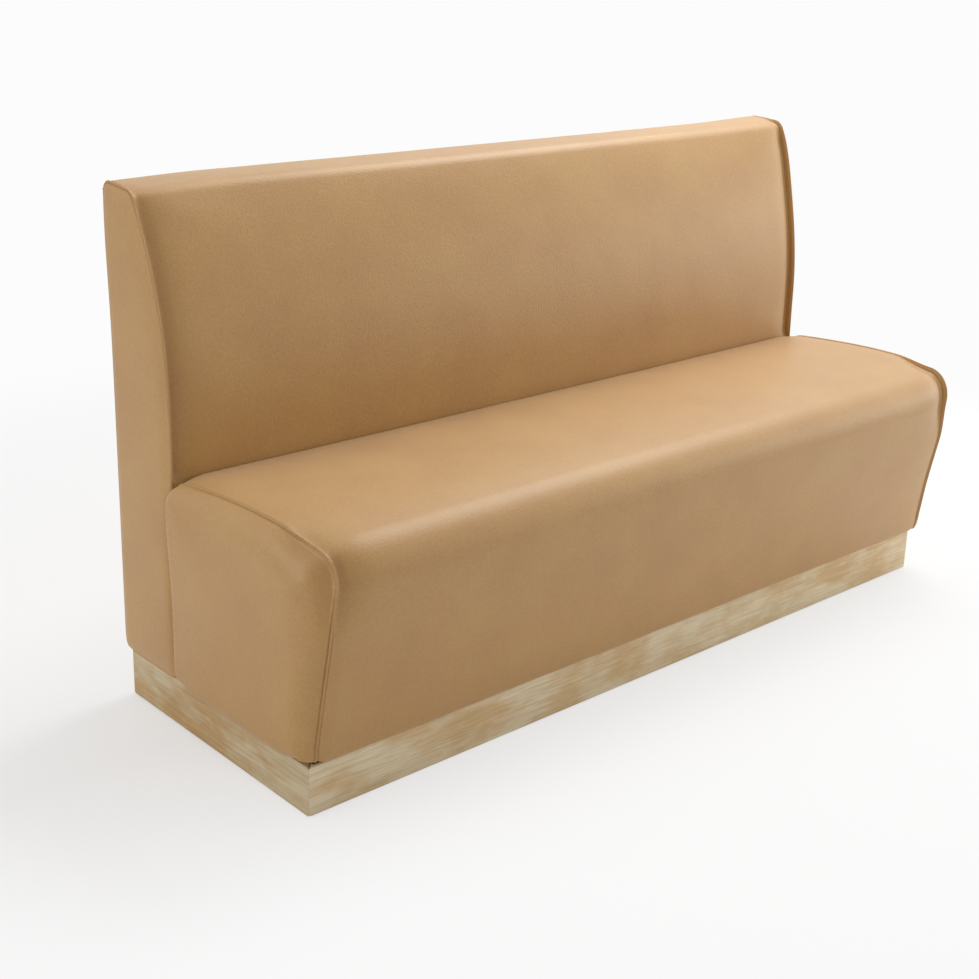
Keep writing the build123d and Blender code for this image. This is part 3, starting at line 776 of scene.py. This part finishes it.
def foam_pad(unit, node):
    """A foam pad that follows the leather over it, cut from the CAD's pad."""
    work = bmesh.new()
    work.from_mesh(nodes[node].data)
    bmesh.ops.remove_doubles(work, verts=work.verts, dist=MM / 100)
    low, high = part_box(node)
    for axis, spacing in enumerate(pad_cuts):
        cuts = np.arange(low[axis] + spacing, high[axis] - MM, spacing)
        if axis == 0:
            cuts = np.concatenate((cuts, low.x + pad_end_cuts, high.x - pad_end_cuts))
        for cut in cuts:
            place, facing = Vector((0, 0, 0)), Vector((0, 0, 0))
            place[axis], facing[axis] = cut, 1
            everything = work.verts[:] + work.edges[:] + work.faces[:]
            bmesh.ops.bisect_plane(work, geom=everything, plane_co=place, plane_no=facing)
    points = np.array([vertex.co for vertex in work.verts])
    points[:, 1:] = pressed_in(unit, points[:, 1:])
    depth, _, number = depth_in(unit.loop, points[:, 1:])
    distance = np.maximum(unit.seam_x - np.abs(points[:, 0]), 0)
    there = unit.settled(points, distance, number, unit.out[number])
    uneven = unit.moved(points)
    under = 1 - smooth_step(depth, *foam_skin)
    raised = 1 - smooth_step(points[:, 2], unit_bottom + 40 * MM, unit_bottom + 5 * MM)
    follow = (under * raised)[:, None] * (there - uneven - points) + under[:, None] * uneven
    points = points + follow
    kept_covered(unit, points, number, math.inf)
    for vertex, place in zip(work.verts, points):
        vertex.co = place
    mesh = bpy.data.meshes.new(node + "_pad")
    work.to_mesh(mesh)
    work.free()
    return padded(node, mesh)


def end_pad(unit, node, side, frame_x):
    """The foam pad under an end cover: flat on the end panel, domed under the leather."""
    loop = unit.outline(foam_clearance, end_pad_edge_step)
    places, triangles = panel(loop, end_pad_rings, end_pad_step, end_pad_clear)
    points, distance, _ = unit.bulged(loop, places, side, foam_clearance)
    depth, _, number = depth_in(unit.loop, places)
    faces = [face[::side] for face in triangles]
    domed = unit.settled(points, distance + foam_dome_ease, number, normals(points, faces))
    flat = at_x(side * frame_x, places)
    distance = np.full(len(places), unit.seam_x - frame_x)
    there = unit.settled(flat, distance, number, unit.out[number])
    flat[:, 1:] += (there - flat)[:, 1:] * (1 - smooth_step(depth, *foam_skin))[:, None]
    count, rim = len(places), len(loop)
    faces += [tuple(i + count for i in face[::-side]) for face in triangles]
    kept_covered(unit, domed, number, frame_x)
    kept_covered(unit, flat, number, math.inf)
    points, starts, number = [domed, flat], [0], number[:rim]
    for x in np.linspace(unit.seam_x - foam_clearance, frame_x, end_pad_wall + 1)[:-1]:
        ring = at_x(side * x, places[:rim])
        there = unit.settled(ring, np.full(rim, unit.seam_x - x), number, unit.out[number])
        ring[:, 1:] = there[:, 1:]
        kept_covered(unit, ring, number, frame_x)
        starts.append(sum(len(part) for part in points))
        points.append(ring)
    starts.append(count)
    for first, last in zip(starts, starts[1:]):
        for i in range(rim):
            after = (i + 1) % rim
            faces.append((first + i, last + i, last + after, first + after)[::side])
    mesh = bpy.data.meshes.new(node + "_pad")
    mesh.from_pydata(np.concatenate(points), [], faces)
    return padded(node, mesh)


def dust_cover(unit_name, bays):
    """Black cloth stapled under a unit. It sags a little in the open bays of the plinth."""
    node = unit_name + "_dust_cover"
    low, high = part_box(node)
    columns = np.linspace(low.x, high.x, dust_columns)
    rows = np.linspace(low.y, high.y, dust_rows)
    near, far = max(low.y, bay_front), min(high.y, bay_rear)
    along = np.sin(math.pi * np.clip((rows - near) / (far - near), 0, 1)) ** 2
    sag = np.zeros((len(columns), len(rows)))
    for start, end in bays:
        across = np.sin(math.pi * np.clip((columns - start) / (end - start), 0, 1)) ** 2
        sag += bay_sag * np.outer(across, along)
    points = []
    for i, x in enumerate(columns):
        for k, y in enumerate(rows):
            ripple = cloth_ripple * noise.noise(Vector((x, y, 0)) / ripple_length)
            points.append((x, y, high.z - sag[i, k] * (1 + ripple)))
    faces = []
    for i in range(len(columns) - 1):
        for k in range(len(rows) - 1):
            corner = i * len(rows) + k
            faces.append((corner, corner + len(rows), corner + len(rows) + 1, corner + 1))
    made = dressed(node + "_cloth", points, faces, lining, node)
    return made


# Materials
tinting = {"data_type": "RGBA", "blend_type": "MULTIPLY"}


def linear(code):
    """The linear colour of an sRGB hex code."""
    parts = [int(code[i : i + 2], 16) / 255 for i in (1, 3, 5)]
    return [c / 12.92 if c <= 0.04045 else ((c + 0.055) / 1.055) ** 2.4 for c in parts] + [1]


def per(size):
    """The scale of a pattern whose repeats are this many millimetres wide."""
    return 1 / (size * MM)


def drawn_out(axis, share):
    """A scale that draws a pattern out along one axis."""
    return [share if letter == axis else 1 for letter in "XYZ"]


def add(tree, kind, sockets=None, stops=None, **settings):
    """Adds a shader node. Its sockets take a value, another node's output, or a node for its
    first output. stops are the places and hex colours of a ramp."""
    made = tree.nodes.new("ShaderNode" + kind)
    for name, value in settings.items():
        setattr(made, name, value)
    for name, value in (sockets or {}).items():
        if isinstance(value, bpy.types.Node):
            value = value.outputs[0]
        if isinstance(value, bpy.types.NodeSocket):
            tree.links.new(value, made.inputs[name])
        else:
            made.inputs[name].default_value = value
    if stops:
        elements = made.color_ramp.elements
        while len(elements) < len(stops):
            elements.new(0.5)
        for element, (place, code) in zip(elements, stops):
            element.position = place
            element.color = linear(code)
    return made


def started(name):
    """A new material, its node tree and the place on the object in metres."""
    material = bpy.data.materials.new(name)
    material.use_nodes = True
    tree = material.node_tree
    tree.nodes.clear()
    return material, tree, add(tree, "TexCoord").outputs["Object"]


def surfaced(material, colour, roughness, height, depth, **constants):
    """Ends a material with its colour, roughness, relief and fixed values."""
    tree = material.node_tree
    relief = add(tree, "Bump", {"Height": height, "Distance": depth, "Strength": 1})
    sockets = {"Base Color": colour, "Roughness": roughness, "Normal": relief}
    sockets.update({name.replace("_", " "): value for name, value in constants.items()})
    shader = add(tree, "BsdfPrincipled", sockets)
    add(tree, "OutputMaterial", {"Surface": shader})
    return material


def pebbled_leather():
    """Corrected-grain upholstery leather, pigmented tan, with a pressed pebble grain and a
    satin top coat. The eye gets an even warm tan with a fine mottle and a broad, soft
    highlight. The pebbles are drawn 2.8 mm across, coarser than the real 1.2 mm, so that
    they show."""
    material, tree, place = started("pebbled_leather")
    warp = add(tree, "TexNoise", {"Vector": place, "Scale": per(9), "Detail": 2})
    bent = {0: warp.outputs["Color"], "Scale": 2.2 * MM}
    bent = add(tree, "VectorMath", bent, operation="SCALE")
    bent = add(tree, "VectorMath", {0: place, 1: bent}, operation="ADD")
    pebbles = {"Vector": bent, "Scale": per(2.8), "Smoothness": 0.5}
    pebbles = add(tree, "TexVoronoi", pebbles, feature="SMOOTH_F1")
    grain = {"Vector": place, "Scale": per(4.5), "Detail": 4, "Roughness": 0.65}
    grain = add(tree, "TexNoise", grain)
    clouds = {"Vector": place, "Scale": per(120), "Detail": 3, "Roughness": 0.5}
    clouds = add(tree, "TexNoise", clouds)
    tone = add(tree, "ValToRGB", {"Fac": clouds}, [(0.3, "#B6894C"), (0.7, "#BD9252")])
    mottle = add(tree, "ValToRGB", {"Fac": grain}, [(0.32, "#F1EEEA"), (0.68, "#FFFFFF")])
    colour = add(tree, "Mix", {0: 1.0, 6: tone, 7: mottle}, **tinting)
    rough = add(tree, "MapRange", {"Value": grain, "To Min": 0.42, "To Max": 0.56})
    relief = add(tree, "Math", {0: pebbles, 1: 0.6, 2: grain}, operation="MULTIPLY_ADD")
    satin = {"Specular_IOR_Level": 0.7, "Sheen_Weight": 0.25, "Sheen_Roughness": 0.45}
    return surfaced(material, colour.outputs[2], rough, relief, 0.35 * MM, IOR=1.5, **satin)


def sewing_thread():
    """Bonded polyester thread, twisted and waxed. It is drawn darker than the leather: partly the
    thread's own tone, partly painted shade of the grooves that it lies in. Its twist is drawn 0.8
    mm long."""
    material, tree, place = started("sewing_thread")
    twist = add(tree, "TexNoise", {"Vector": place, "Scale": per(0.8), "Detail": 1})
    # The thread's dark tone is partly painted shade of the stitch grooves.
    tone = add(tree, "ValToRGB", {"Fac": twist}, [(0.3, "#5F4026"), (0.7, "#785433")])
    return surfaced(material, tone, 0.5, twist, 0.1 * MM, IOR=1.55)


def limed_oak(along, tones, bare):
    """Planed oak, limed and matt oiled, with its grain along X or Y. The eye gets a greyish
    beige, soft grain lines 3 to 6 mm apart, fine pale pores, and ochre patches 60 to 200 mm
    long where the lime is thin."""
    material, tree, place = started("limed_oak_along_" + along.lower())
    board = add(tree, "Mapping", {"Vector": place, "Scale": drawn_out(along, 1 / 40)})
    lines = add(tree, "TexNoise", {"Vector": board, "Scale": per(7), "Detail": 3, "Roughness": 0.5})
    pores = add(tree, "TexNoise", {"Vector": board, "Scale": per(2.2), "Detail": 2})
    wide = add(tree, "Mapping", {"Vector": place, "Scale": drawn_out(along, 0.45)})
    patches = {"Vector": wide, "Scale": per(55), "Detail": 3, "Roughness": 0.6}
    patches = add(tree, "TexNoise", patches)
    tone = add(tree, "ValToRGB", {"Fac": lines}, list(zip((0.3, 0.5, 0.7), tones)))
    thin = add(tree, "ValToRGB", {"Fac": patches}, [(0.4, "#000000"), (0.62, "#D8D8D8")])
    warm = add(tree, "Mix", {0: thin, 6: tone, 7: linear(bare)}, data_type="RGBA")
    lime = add(tree, "ValToRGB", {"Fac": pores}, [(0.38, "#EFECE7"), (0.6, "#FFFFFF")])
    colour = add(tree, "Mix", {0: 1.0, 6: warm.outputs[2], 7: lime}, **tinting)
    rough = add(tree, "MapRange", {"Value": patches, "To Min": 0.46, "To Max": 0.62})
    relief = add(tree, "Math", {0: lines, 1: pores}, operation="ADD")
    return surfaced(material, colour.outputs[2], rough, relief, 0.12 * MM, IOR=1.5)


def birch_plywood(across, grain):
    """Sanded birch plywood whose plies are stacked along one axis, with the face grain along
    another. The eye gets pale veneer on the faces and 1.5 mm brown and cream plies on the
    cut edges."""
    ply_thickness = 1.5 * MM
    material, tree, place = started(f"birch_plywood_across_{across.lower()}")
    parts = add(tree, "SeparateXYZ", {0: place})
    facing = add(tree, "SeparateXYZ", {0: add(tree, "NewGeometry").outputs["Normal"]})
    plies = add(tree, "Math", {0: parts.outputs[across], 1: ply_thickness}, operation="PINGPONG")
    plies = add(tree, "Math", {0: plies, 1: ply_thickness}, operation="DIVIDE")
    ply = add(tree, "ValToRGB", {"Fac": plies}, [(0.4, "#8F6B43"), (0.6, "#D9BE93")])
    board = add(tree, "Mapping", {"Vector": place, "Scale": drawn_out(grain, 1 / 12)})
    lines = {"Vector": board, "Scale": per(9), "Detail": 3, "Distortion": 0.6}
    lines = add(tree, "TexNoise", lines)
    veneer = add(tree, "ValToRGB", {"Fac": lines}, [(0.3, "#C9A877"), (0.7, "#E0C79E")])
    flat = add(tree, "Math", {0: facing.outputs[across]}, operation="ABSOLUTE")
    flat = add(tree, "Math", {0: flat, 1: 0.7}, operation="GREATER_THAN")
    colour = add(tree, "Mix", {0: flat, 6: ply, 7: veneer}, data_type="RGBA")
    rough = add(tree, "MapRange", {"Value": lines, "To Min": 0.55, "To Max": 0.7})
    return surfaced(material, colour.outputs[2], rough, lines, 0.2 * MM, IOR=1.5)


def planed_pine(grain):
    """Planed pine with its grain along one axis. The eye gets a yellow-cream board with
    reddish late-wood lines 6 mm apart."""
    material, tree, place = started("planed_pine_along_" + grain.lower())
    board = add(tree, "Mapping", {"Vector": place, "Scale": drawn_out(grain, 1 / 18)})
    rings = {"Vector": board, "Scale": per(38), "Distortion": 5, "Detail": 2}
    rings = add(tree, "TexWave", rings).outputs["Fac"]
    fibres = add(tree, "TexNoise", {"Vector": board, "Scale": per(2), "Detail": 2})
    tone = add(tree, "ValToRGB", {"Fac": rings}, [(0.2, "#E2C592"), (0.9, "#C79A62")])
    fine = add(tree, "ValToRGB", {"Fac": fibres}, [(0.3, "#E8E4DE"), (0.7, "#FFFFFF")])
    colour = add(tree, "Mix", {0: 1.0, 6: tone, 7: fine}, **tinting)
    rough = add(tree, "MapRange", {"Value": fibres, "To Min": 0.5, "To Max": 0.68})
    return surfaced(material, colour.outputs[2], rough, fibres, 0.2 * MM, IOR=1.5)


def cut_foam():
    """Cut polyurethane foam. The eye gets a pale cream block with open cells, drawn 2 mm
    across so that they show."""
    material, tree, place = started("cut_foam")
    cells = add(tree, "TexVoronoi", {"Vector": place, "Scale": per(2)})
    tone = add(tree, "ValToRGB", {"Fac": cells}, [(0.1, "#D9CC9E"), (0.6, "#EFE6C4")])
    return surfaced(material, tone, 0.9, cells, 0.6 * MM, IOR=1.4)


def spunbond_cloth():
    """Black spunbond polypropylene cloth, bonded in dots. The eye gets a matt charcoal with a
    2.5 mm dot pattern and loose fibres."""
    material, tree, place = started("spunbond_cloth")
    turned = add(tree, "Mapping", {"Vector": place, "Rotation": (0, 0, math.radians(45))})
    dots = add(tree, "TexVoronoi", {"Vector": turned, "Scale": per(2.5), "Randomness": 0.1})
    fibres = {"Vector": place, "Scale": per(3), "Detail": 5, "Roughness": 0.7}
    fibres = add(tree, "TexNoise", fibres)
    tone = add(tree, "ValToRGB", {"Fac": fibres}, [(0.35, "#161617"), (0.7, "#2C2C2E")])
    relief = add(tree, "Math", {0: dots, 1: fibres}, operation="ADD")
    rough = add(tree, "MapRange", {"Value": dots, "To Min": 0.55, "To Max": 0.85})
    return surfaced(material, tone, rough, relief, 0.4 * MM, IOR=1.49)


def zinc_plated_steel():
    """Bright zinc-plated steel. The eye gets a cool silver with faint yellow and blue clouds
    12 mm across and a fine plating grain."""
    material, tree, place = started("zinc_plated_steel")
    clouds = add(tree, "TexNoise", {"Vector": place, "Scale": per(12), "Detail": 2})
    plating = add(tree, "TexNoise", {"Vector": place, "Scale": per(1.2), "Detail": 2})
    tone = add(tree, "ValToRGB", {"Fac": clouds}, [(0.35, "#B4B8BE"), (0.65, "#C9C6BC")])
    rough = add(tree, "MapRange", {"Value": plating, "To Min": 0.28, "To Max": 0.45})
    return surfaced(material, tone, rough, plating, 0.05 * MM, Metallic=1)


def moulded_nylon():
    """Black nylon, injection moulded with a spark-eroded texture drawn 1 mm across. The eye
    gets a soft sheen on near black."""
    material, tree, place = started("moulded_nylon")
    spark = add(tree, "TexNoise", {"Vector": place, "Scale": per(1), "Detail": 3})
    tone = add(tree, "ValToRGB", {"Fac": spark}, [(0.3, "#151516"), (0.7, "#222224")])
    rough = add(tree, "MapRange", {"Value": spark, "To Min": 0.4, "To Max": 0.55})
    return surfaced(material, tone, rough, spark, 0.08 * MM, IOR=1.53)


def seamless_paper():
    """A seamless paper floor, pale and matt. Near the bench it takes the shadow, lightened for the
    camera by a white glow that is painted light, stronger in front of the bench than behind it.
    Further away it goes over into the white of the backdrop."""
    material, tree, place = started("seamless_paper")
    ring = add(tree, "VectorMath", {0: place}, operation="LENGTH").outputs["Value"]
    far = {"Value": ring, "From Min": 1.1, "From Max": 2.4}
    far = add(tree, "MapRange", far, interpolation_type="SMOOTHSTEP")
    paper = add(tree, "BsdfDiffuse", {"Color": linear("#F4F4F4")})
    white = add(tree, "Emission", {"Color": linear("#FCFCFC"), "Strength": 1})
    seen = add(tree, "LightPath").outputs["Is Camera Ray"]
    # Painted light: the share of white glow near the bench grows towards the front, to lighten the
    # shadow there.
    rearward = add(tree, "SeparateXYZ", {0: place}).outputs["Y"]
    near = {"Value": rearward, "From Min": -0.45, "From Max": 0.1, "To Min": 0.8, "To Max": 0.46}
    near = add(tree, "MapRange", near)
    most = add(tree, "MapRange", {"Value": far, "To Min": near})
    share = add(tree, "Math", {0: most, 1: seen}, operation="MULTIPLY")
    both = add(tree, "MixShader", {0: share, 1: paper, 2: white})
    add(tree, "OutputMaterial", {"Surface": both})
    return material


leather, thread = pebbled_leather(), sewing_thread()
foam, dust_cloth = cut_foam(), spunbond_cloth()
steel, nylon = zinc_plated_steel(), moulded_nylon()
# The front and rear boards' oak is drawn lighter than the end boards': painted light, standing in
# for the light on the front board.
oak = {
    "X": limed_oak("X", ("#DECCA9", "#E6D5B3", "#EDDFC0"), "#CFA76B"),
    "Y": limed_oak("Y", ("#C4B28F", "#CCBB97", "#D5C5A4"), "#BA8C4C"),
}
pine = {grain: planed_pine(grain) for grain in "XY"}
plywood = {across: birch_plywood(across, grain) for across, grain in ("XZ", "YX", "ZX")}
hide = (leather_thickness, leather, "tan_leather")
lining = (cloth_thickness, dust_cloth, "dust_cloth")

boards = ("plinth_front", "plinth_rear", "plinth_left", "plinth_right")
finishes = {
    oak["X"]: boards[:2],
    oak["Y"]: boards[2:],
    pine["X"]: (
        "plinth_cleats",
        "glide_blocks",
        "seat_nose_rail",
        "seat_rear_rail",
        "seat_base_rail_front",
        "seat_base_rail_rear",
        "back_top_rail",
        "back_lumbar_rail",
        "back_joint_rail",
    ),
    pine["Y"]: cross_rails,
    plywood["X"]: tuple(
        f"{unit}_{part}"
        for unit in ("seat", "back")
        for part in ("end_panel_left", "end_panel_right", "rib_1", "rib_2", "rib_3")
    ),
    plywood["Y"]: ("seat_front_board", "back_facing", "back_rear_board"),
    plywood["Z"]: ("seat_deck", "back_base_board"),
    steel: ("glide_plates", "joint_bolts", "plinth_bolts", "nuts")
    + tuple(f"glide_stem_{corner}" for corner in glide_corners),
    nylon: tuple(f"glide_foot_{corner}" for corner in glide_corners),
}
for finish, names in finishes.items():
    for name in names:
        node = nodes[name]
        node.data.materials.clear()
        node.data.materials.append(finish)

# Broken edges on the plinth's boards, rails and cleats
for board in (*boards, *cross_rails, "plinth_cleats"):
    welded = nodes[board].modifiers.new("Welded", "WELD")
    welded.merge_threshold = MM / 100
    edges = nodes[board].modifiers.new("Edges", "BEVEL")
    edges.width = 3 * MM
    edges.segments = 2
    edges.limit_method = "ANGLE"
    edges.angle_limit = math.radians(30)

# Upholstery
seat = Unit(
    "seat",
    seat_outline,
    seat_seam_x,
    seat_edge_width,
    seat_end_bulge,
    seat_seam_pull,
    seat_moves,
    seat_held,
)
back = Unit(
    "back",
    back_outline,
    back_seam_x,
    back_edge_width,
    back_end_bulge,
    back_seam_pull,
    back_moves,
    back_held,
    back_seam_height,
)
foam_pad(seat, "seat_foam_block")
foam_pad(seat, "seat_foam_front")
foam_pad(back, "back_foam_front")
for side, word in ((-1, "left"), (1, "right")):
    end_pad(seat, "seat_foam_" + word, side, seat_frame_x)
    end_pad(back, "back_foam_" + word, side, back_frame_x)
for name in ("seat", "back"):
    dust_cover(name, open_bays)


def round_covers(unit, split, rear, panels):
    """The two panels that go round a unit. The second lies behind, below the height split,
    and meets the first under the unit, where only a strip of each is stapled on."""
    points, faces = unit.covers[0]
    middle = (unit.loop + np.roll(unit.loop, -1, 0)) / 2
    low = unit.loop[unit.loop[:, 1] < unit_bottom + MM, 0].min()
    high = unit.loop[:, 0].max()
    under = (middle[:, 1] < unit_bottom + MM / 10) & (middle[:, 0] > low + cover_return)
    under &= middle[:, 0] < high - cover_return
    column_middle = np.abs(unit.columns[1:] + unit.columns[:-1]) / 2
    inner = (column_middle < unit.seam_x - cover_return)[:, None]
    behind = (middle[:, 1] < split) & (middle[:, 0] > rear - cover_return)
    for mine, (name, stuff, rests_on) in zip((~behind, behind), panels):
        kept = cut_out(points, faces, (mine & ~(under & inner)).ravel())
        made = dressed(name + "_piece", *kept, stuff, name)


round_covers(
    seat,
    lining_top,
    seat_rear_y,
    (
        ("seat_cover_main", hide, ["seat_foam_block_pad", "seat_foam_front_pad"]),
        ("seat_rear_lining", lining, ["seat_rear_rail", "seat_base_rail_rear"]),
    ),
)
round_covers(
    back,
    back_seam_height,
    rear_y,
    (
        ("back_cover_front", hide, ["back_foam_front_pad"]),
        ("back_cover_rear", hide, ["back_rear_board"]),
    ),
)
for unit in (seat, back):
    for side, word in ((-1, "left"), (1, "right")):
        points, faces = unit.covers[side]
        name = f"{unit.name}_cover_{word}"
        made = dressed(name + "_piece", points, faces, hide, name)
        for row, on_end in (("outer", True), ("inner", False)):
            stitched(f"{unit.name}_stitching_{word}_{row}", *unit.stitch_path(side, on_end))
for row, height in (("upper", stitch_row), ("lower", -stitch_row)):
    x = np.arange(rear_row_inset - back_seam_x, back_seam_x - rear_row_inset, rear_row_step)
    path = at_x(x, np.tile((rear_y, back_seam_height + height), (len(x), 1)))
    rearward = np.tile((0.0, 1.0, 0.0), (len(x), 1))
    number = depth_in(back.loop, path[:, 1:])[2]
    path = back.settled(path, back_seam_x - np.abs(x), number, rearward)
    stitched(f"back_stitching_rear_{row}", path, rearward)


# The photo's view
def look_from(place, heading, dip, tilt):
    """A camera's matrix from its place and its angles in degrees: heading from +Y towards
    +X, dip below the horizon, tilt to the left."""
    heading, dip, tilt = (math.radians(angle) for angle in (heading, dip, tilt))
    ahead = Vector((math.sin(heading), math.cos(heading), 0))
    right = Vector((math.cos(heading), -math.sin(heading), 0))
    up = Vector((0, 0, 1))
    view = ahead * math.cos(dip) - up * math.sin(dip)
    top = up * math.cos(dip) + ahead * math.sin(dip)
    across = right * math.cos(tilt) + top * math.sin(tilt)
    top = top * math.cos(tilt) - right * math.sin(tilt)
    matrix = Matrix((across, top, -view)).transposed().to_4x4()
    matrix.translation = place
    return matrix


scene = bpy.context.scene
camera = placed("camera", bpy.data.cameras.new("camera"))
scene.camera = camera
camera.data.sensor_width = 36
camera.data.lens = 57.775
camera.data.shift_y = -0.071
camera.data.clip_end = 60
camera.matrix_world = look_from((-2.0397, -1.9909, 1.3348), 42.284, 17.647, 1.604)


# Studio
def softbox(name, place, aim, size, power):
    """A white area lamp."""
    data = bpy.data.lights.new(name, "AREA")
    data.shape = "RECTANGLE"
    data.size, data.size_y = size
    data.energy = power
    made = placed(name, data)
    made.location = place
    made.rotation_euler = (Vector(aim) - Vector(place)).to_track_quat("-Z", "Y").to_euler()


softbox("overhead_softbox", (0.2, 0.5, 3.0), (0, 0, 0.5), (3.2, 1.4), 17)
softbox("overhead_right_softbox", (1.6, 0.3, 2.8), (0.3, 0, 0.5), (1.8, 1.4), 46)
softbox("right_softbox", (3.0, -0.6, 1.8), (0, 0, 0.5), (1.8, 1.8), 11)
softbox("low_right_softbox", (2.8, -1.6, 0.9), (0, 0, 0.4), (1.6, 1.0), 19)
softbox("left_softbox", (-2.6, 1.4, 2.2), (0, 0.2, 0.5), (1.2, 1.2), 7)
softbox("low_left_softbox", (-3.0, 0.4, 1.2), (0, 0.1, 0.5), (1.2, 1.2), 12)

world = bpy.data.worlds.new("studio")
scene.world = world
world.use_nodes = True
tree = world.node_tree
tree.nodes.clear()
seen = add(tree, "LightPath").outputs
direct = seen["Is Camera Ray"]
for ray in ("Is Glossy Ray", "Is Transmission Ray"):
    direct = add(tree, "Math", {0: direct, 1: seen[ray]}, operation="MAXIMUM")
ambient = add(tree, "Background", {"Color": linear("#FFFFFF"), "Strength": 0.48})
backdrop = add(tree, "Background", {"Color": linear("#FCFCFC"), "Strength": 1})
both = add(tree, "MixShader", {0: direct, 1: ambient, 2: backdrop})
add(tree, "OutputWorld", {"Surface": both})

floor_corners = [(-12, -12, 0), (12, -12, 0), (12, 12, 0), (-12, 12, 0)]
floor = mesh_object("floor", floor_corners, [(0, 1, 2, 3)])
floor.data.materials.append(seamless_paper())

scene.view_settings.view_transform = "Standard"
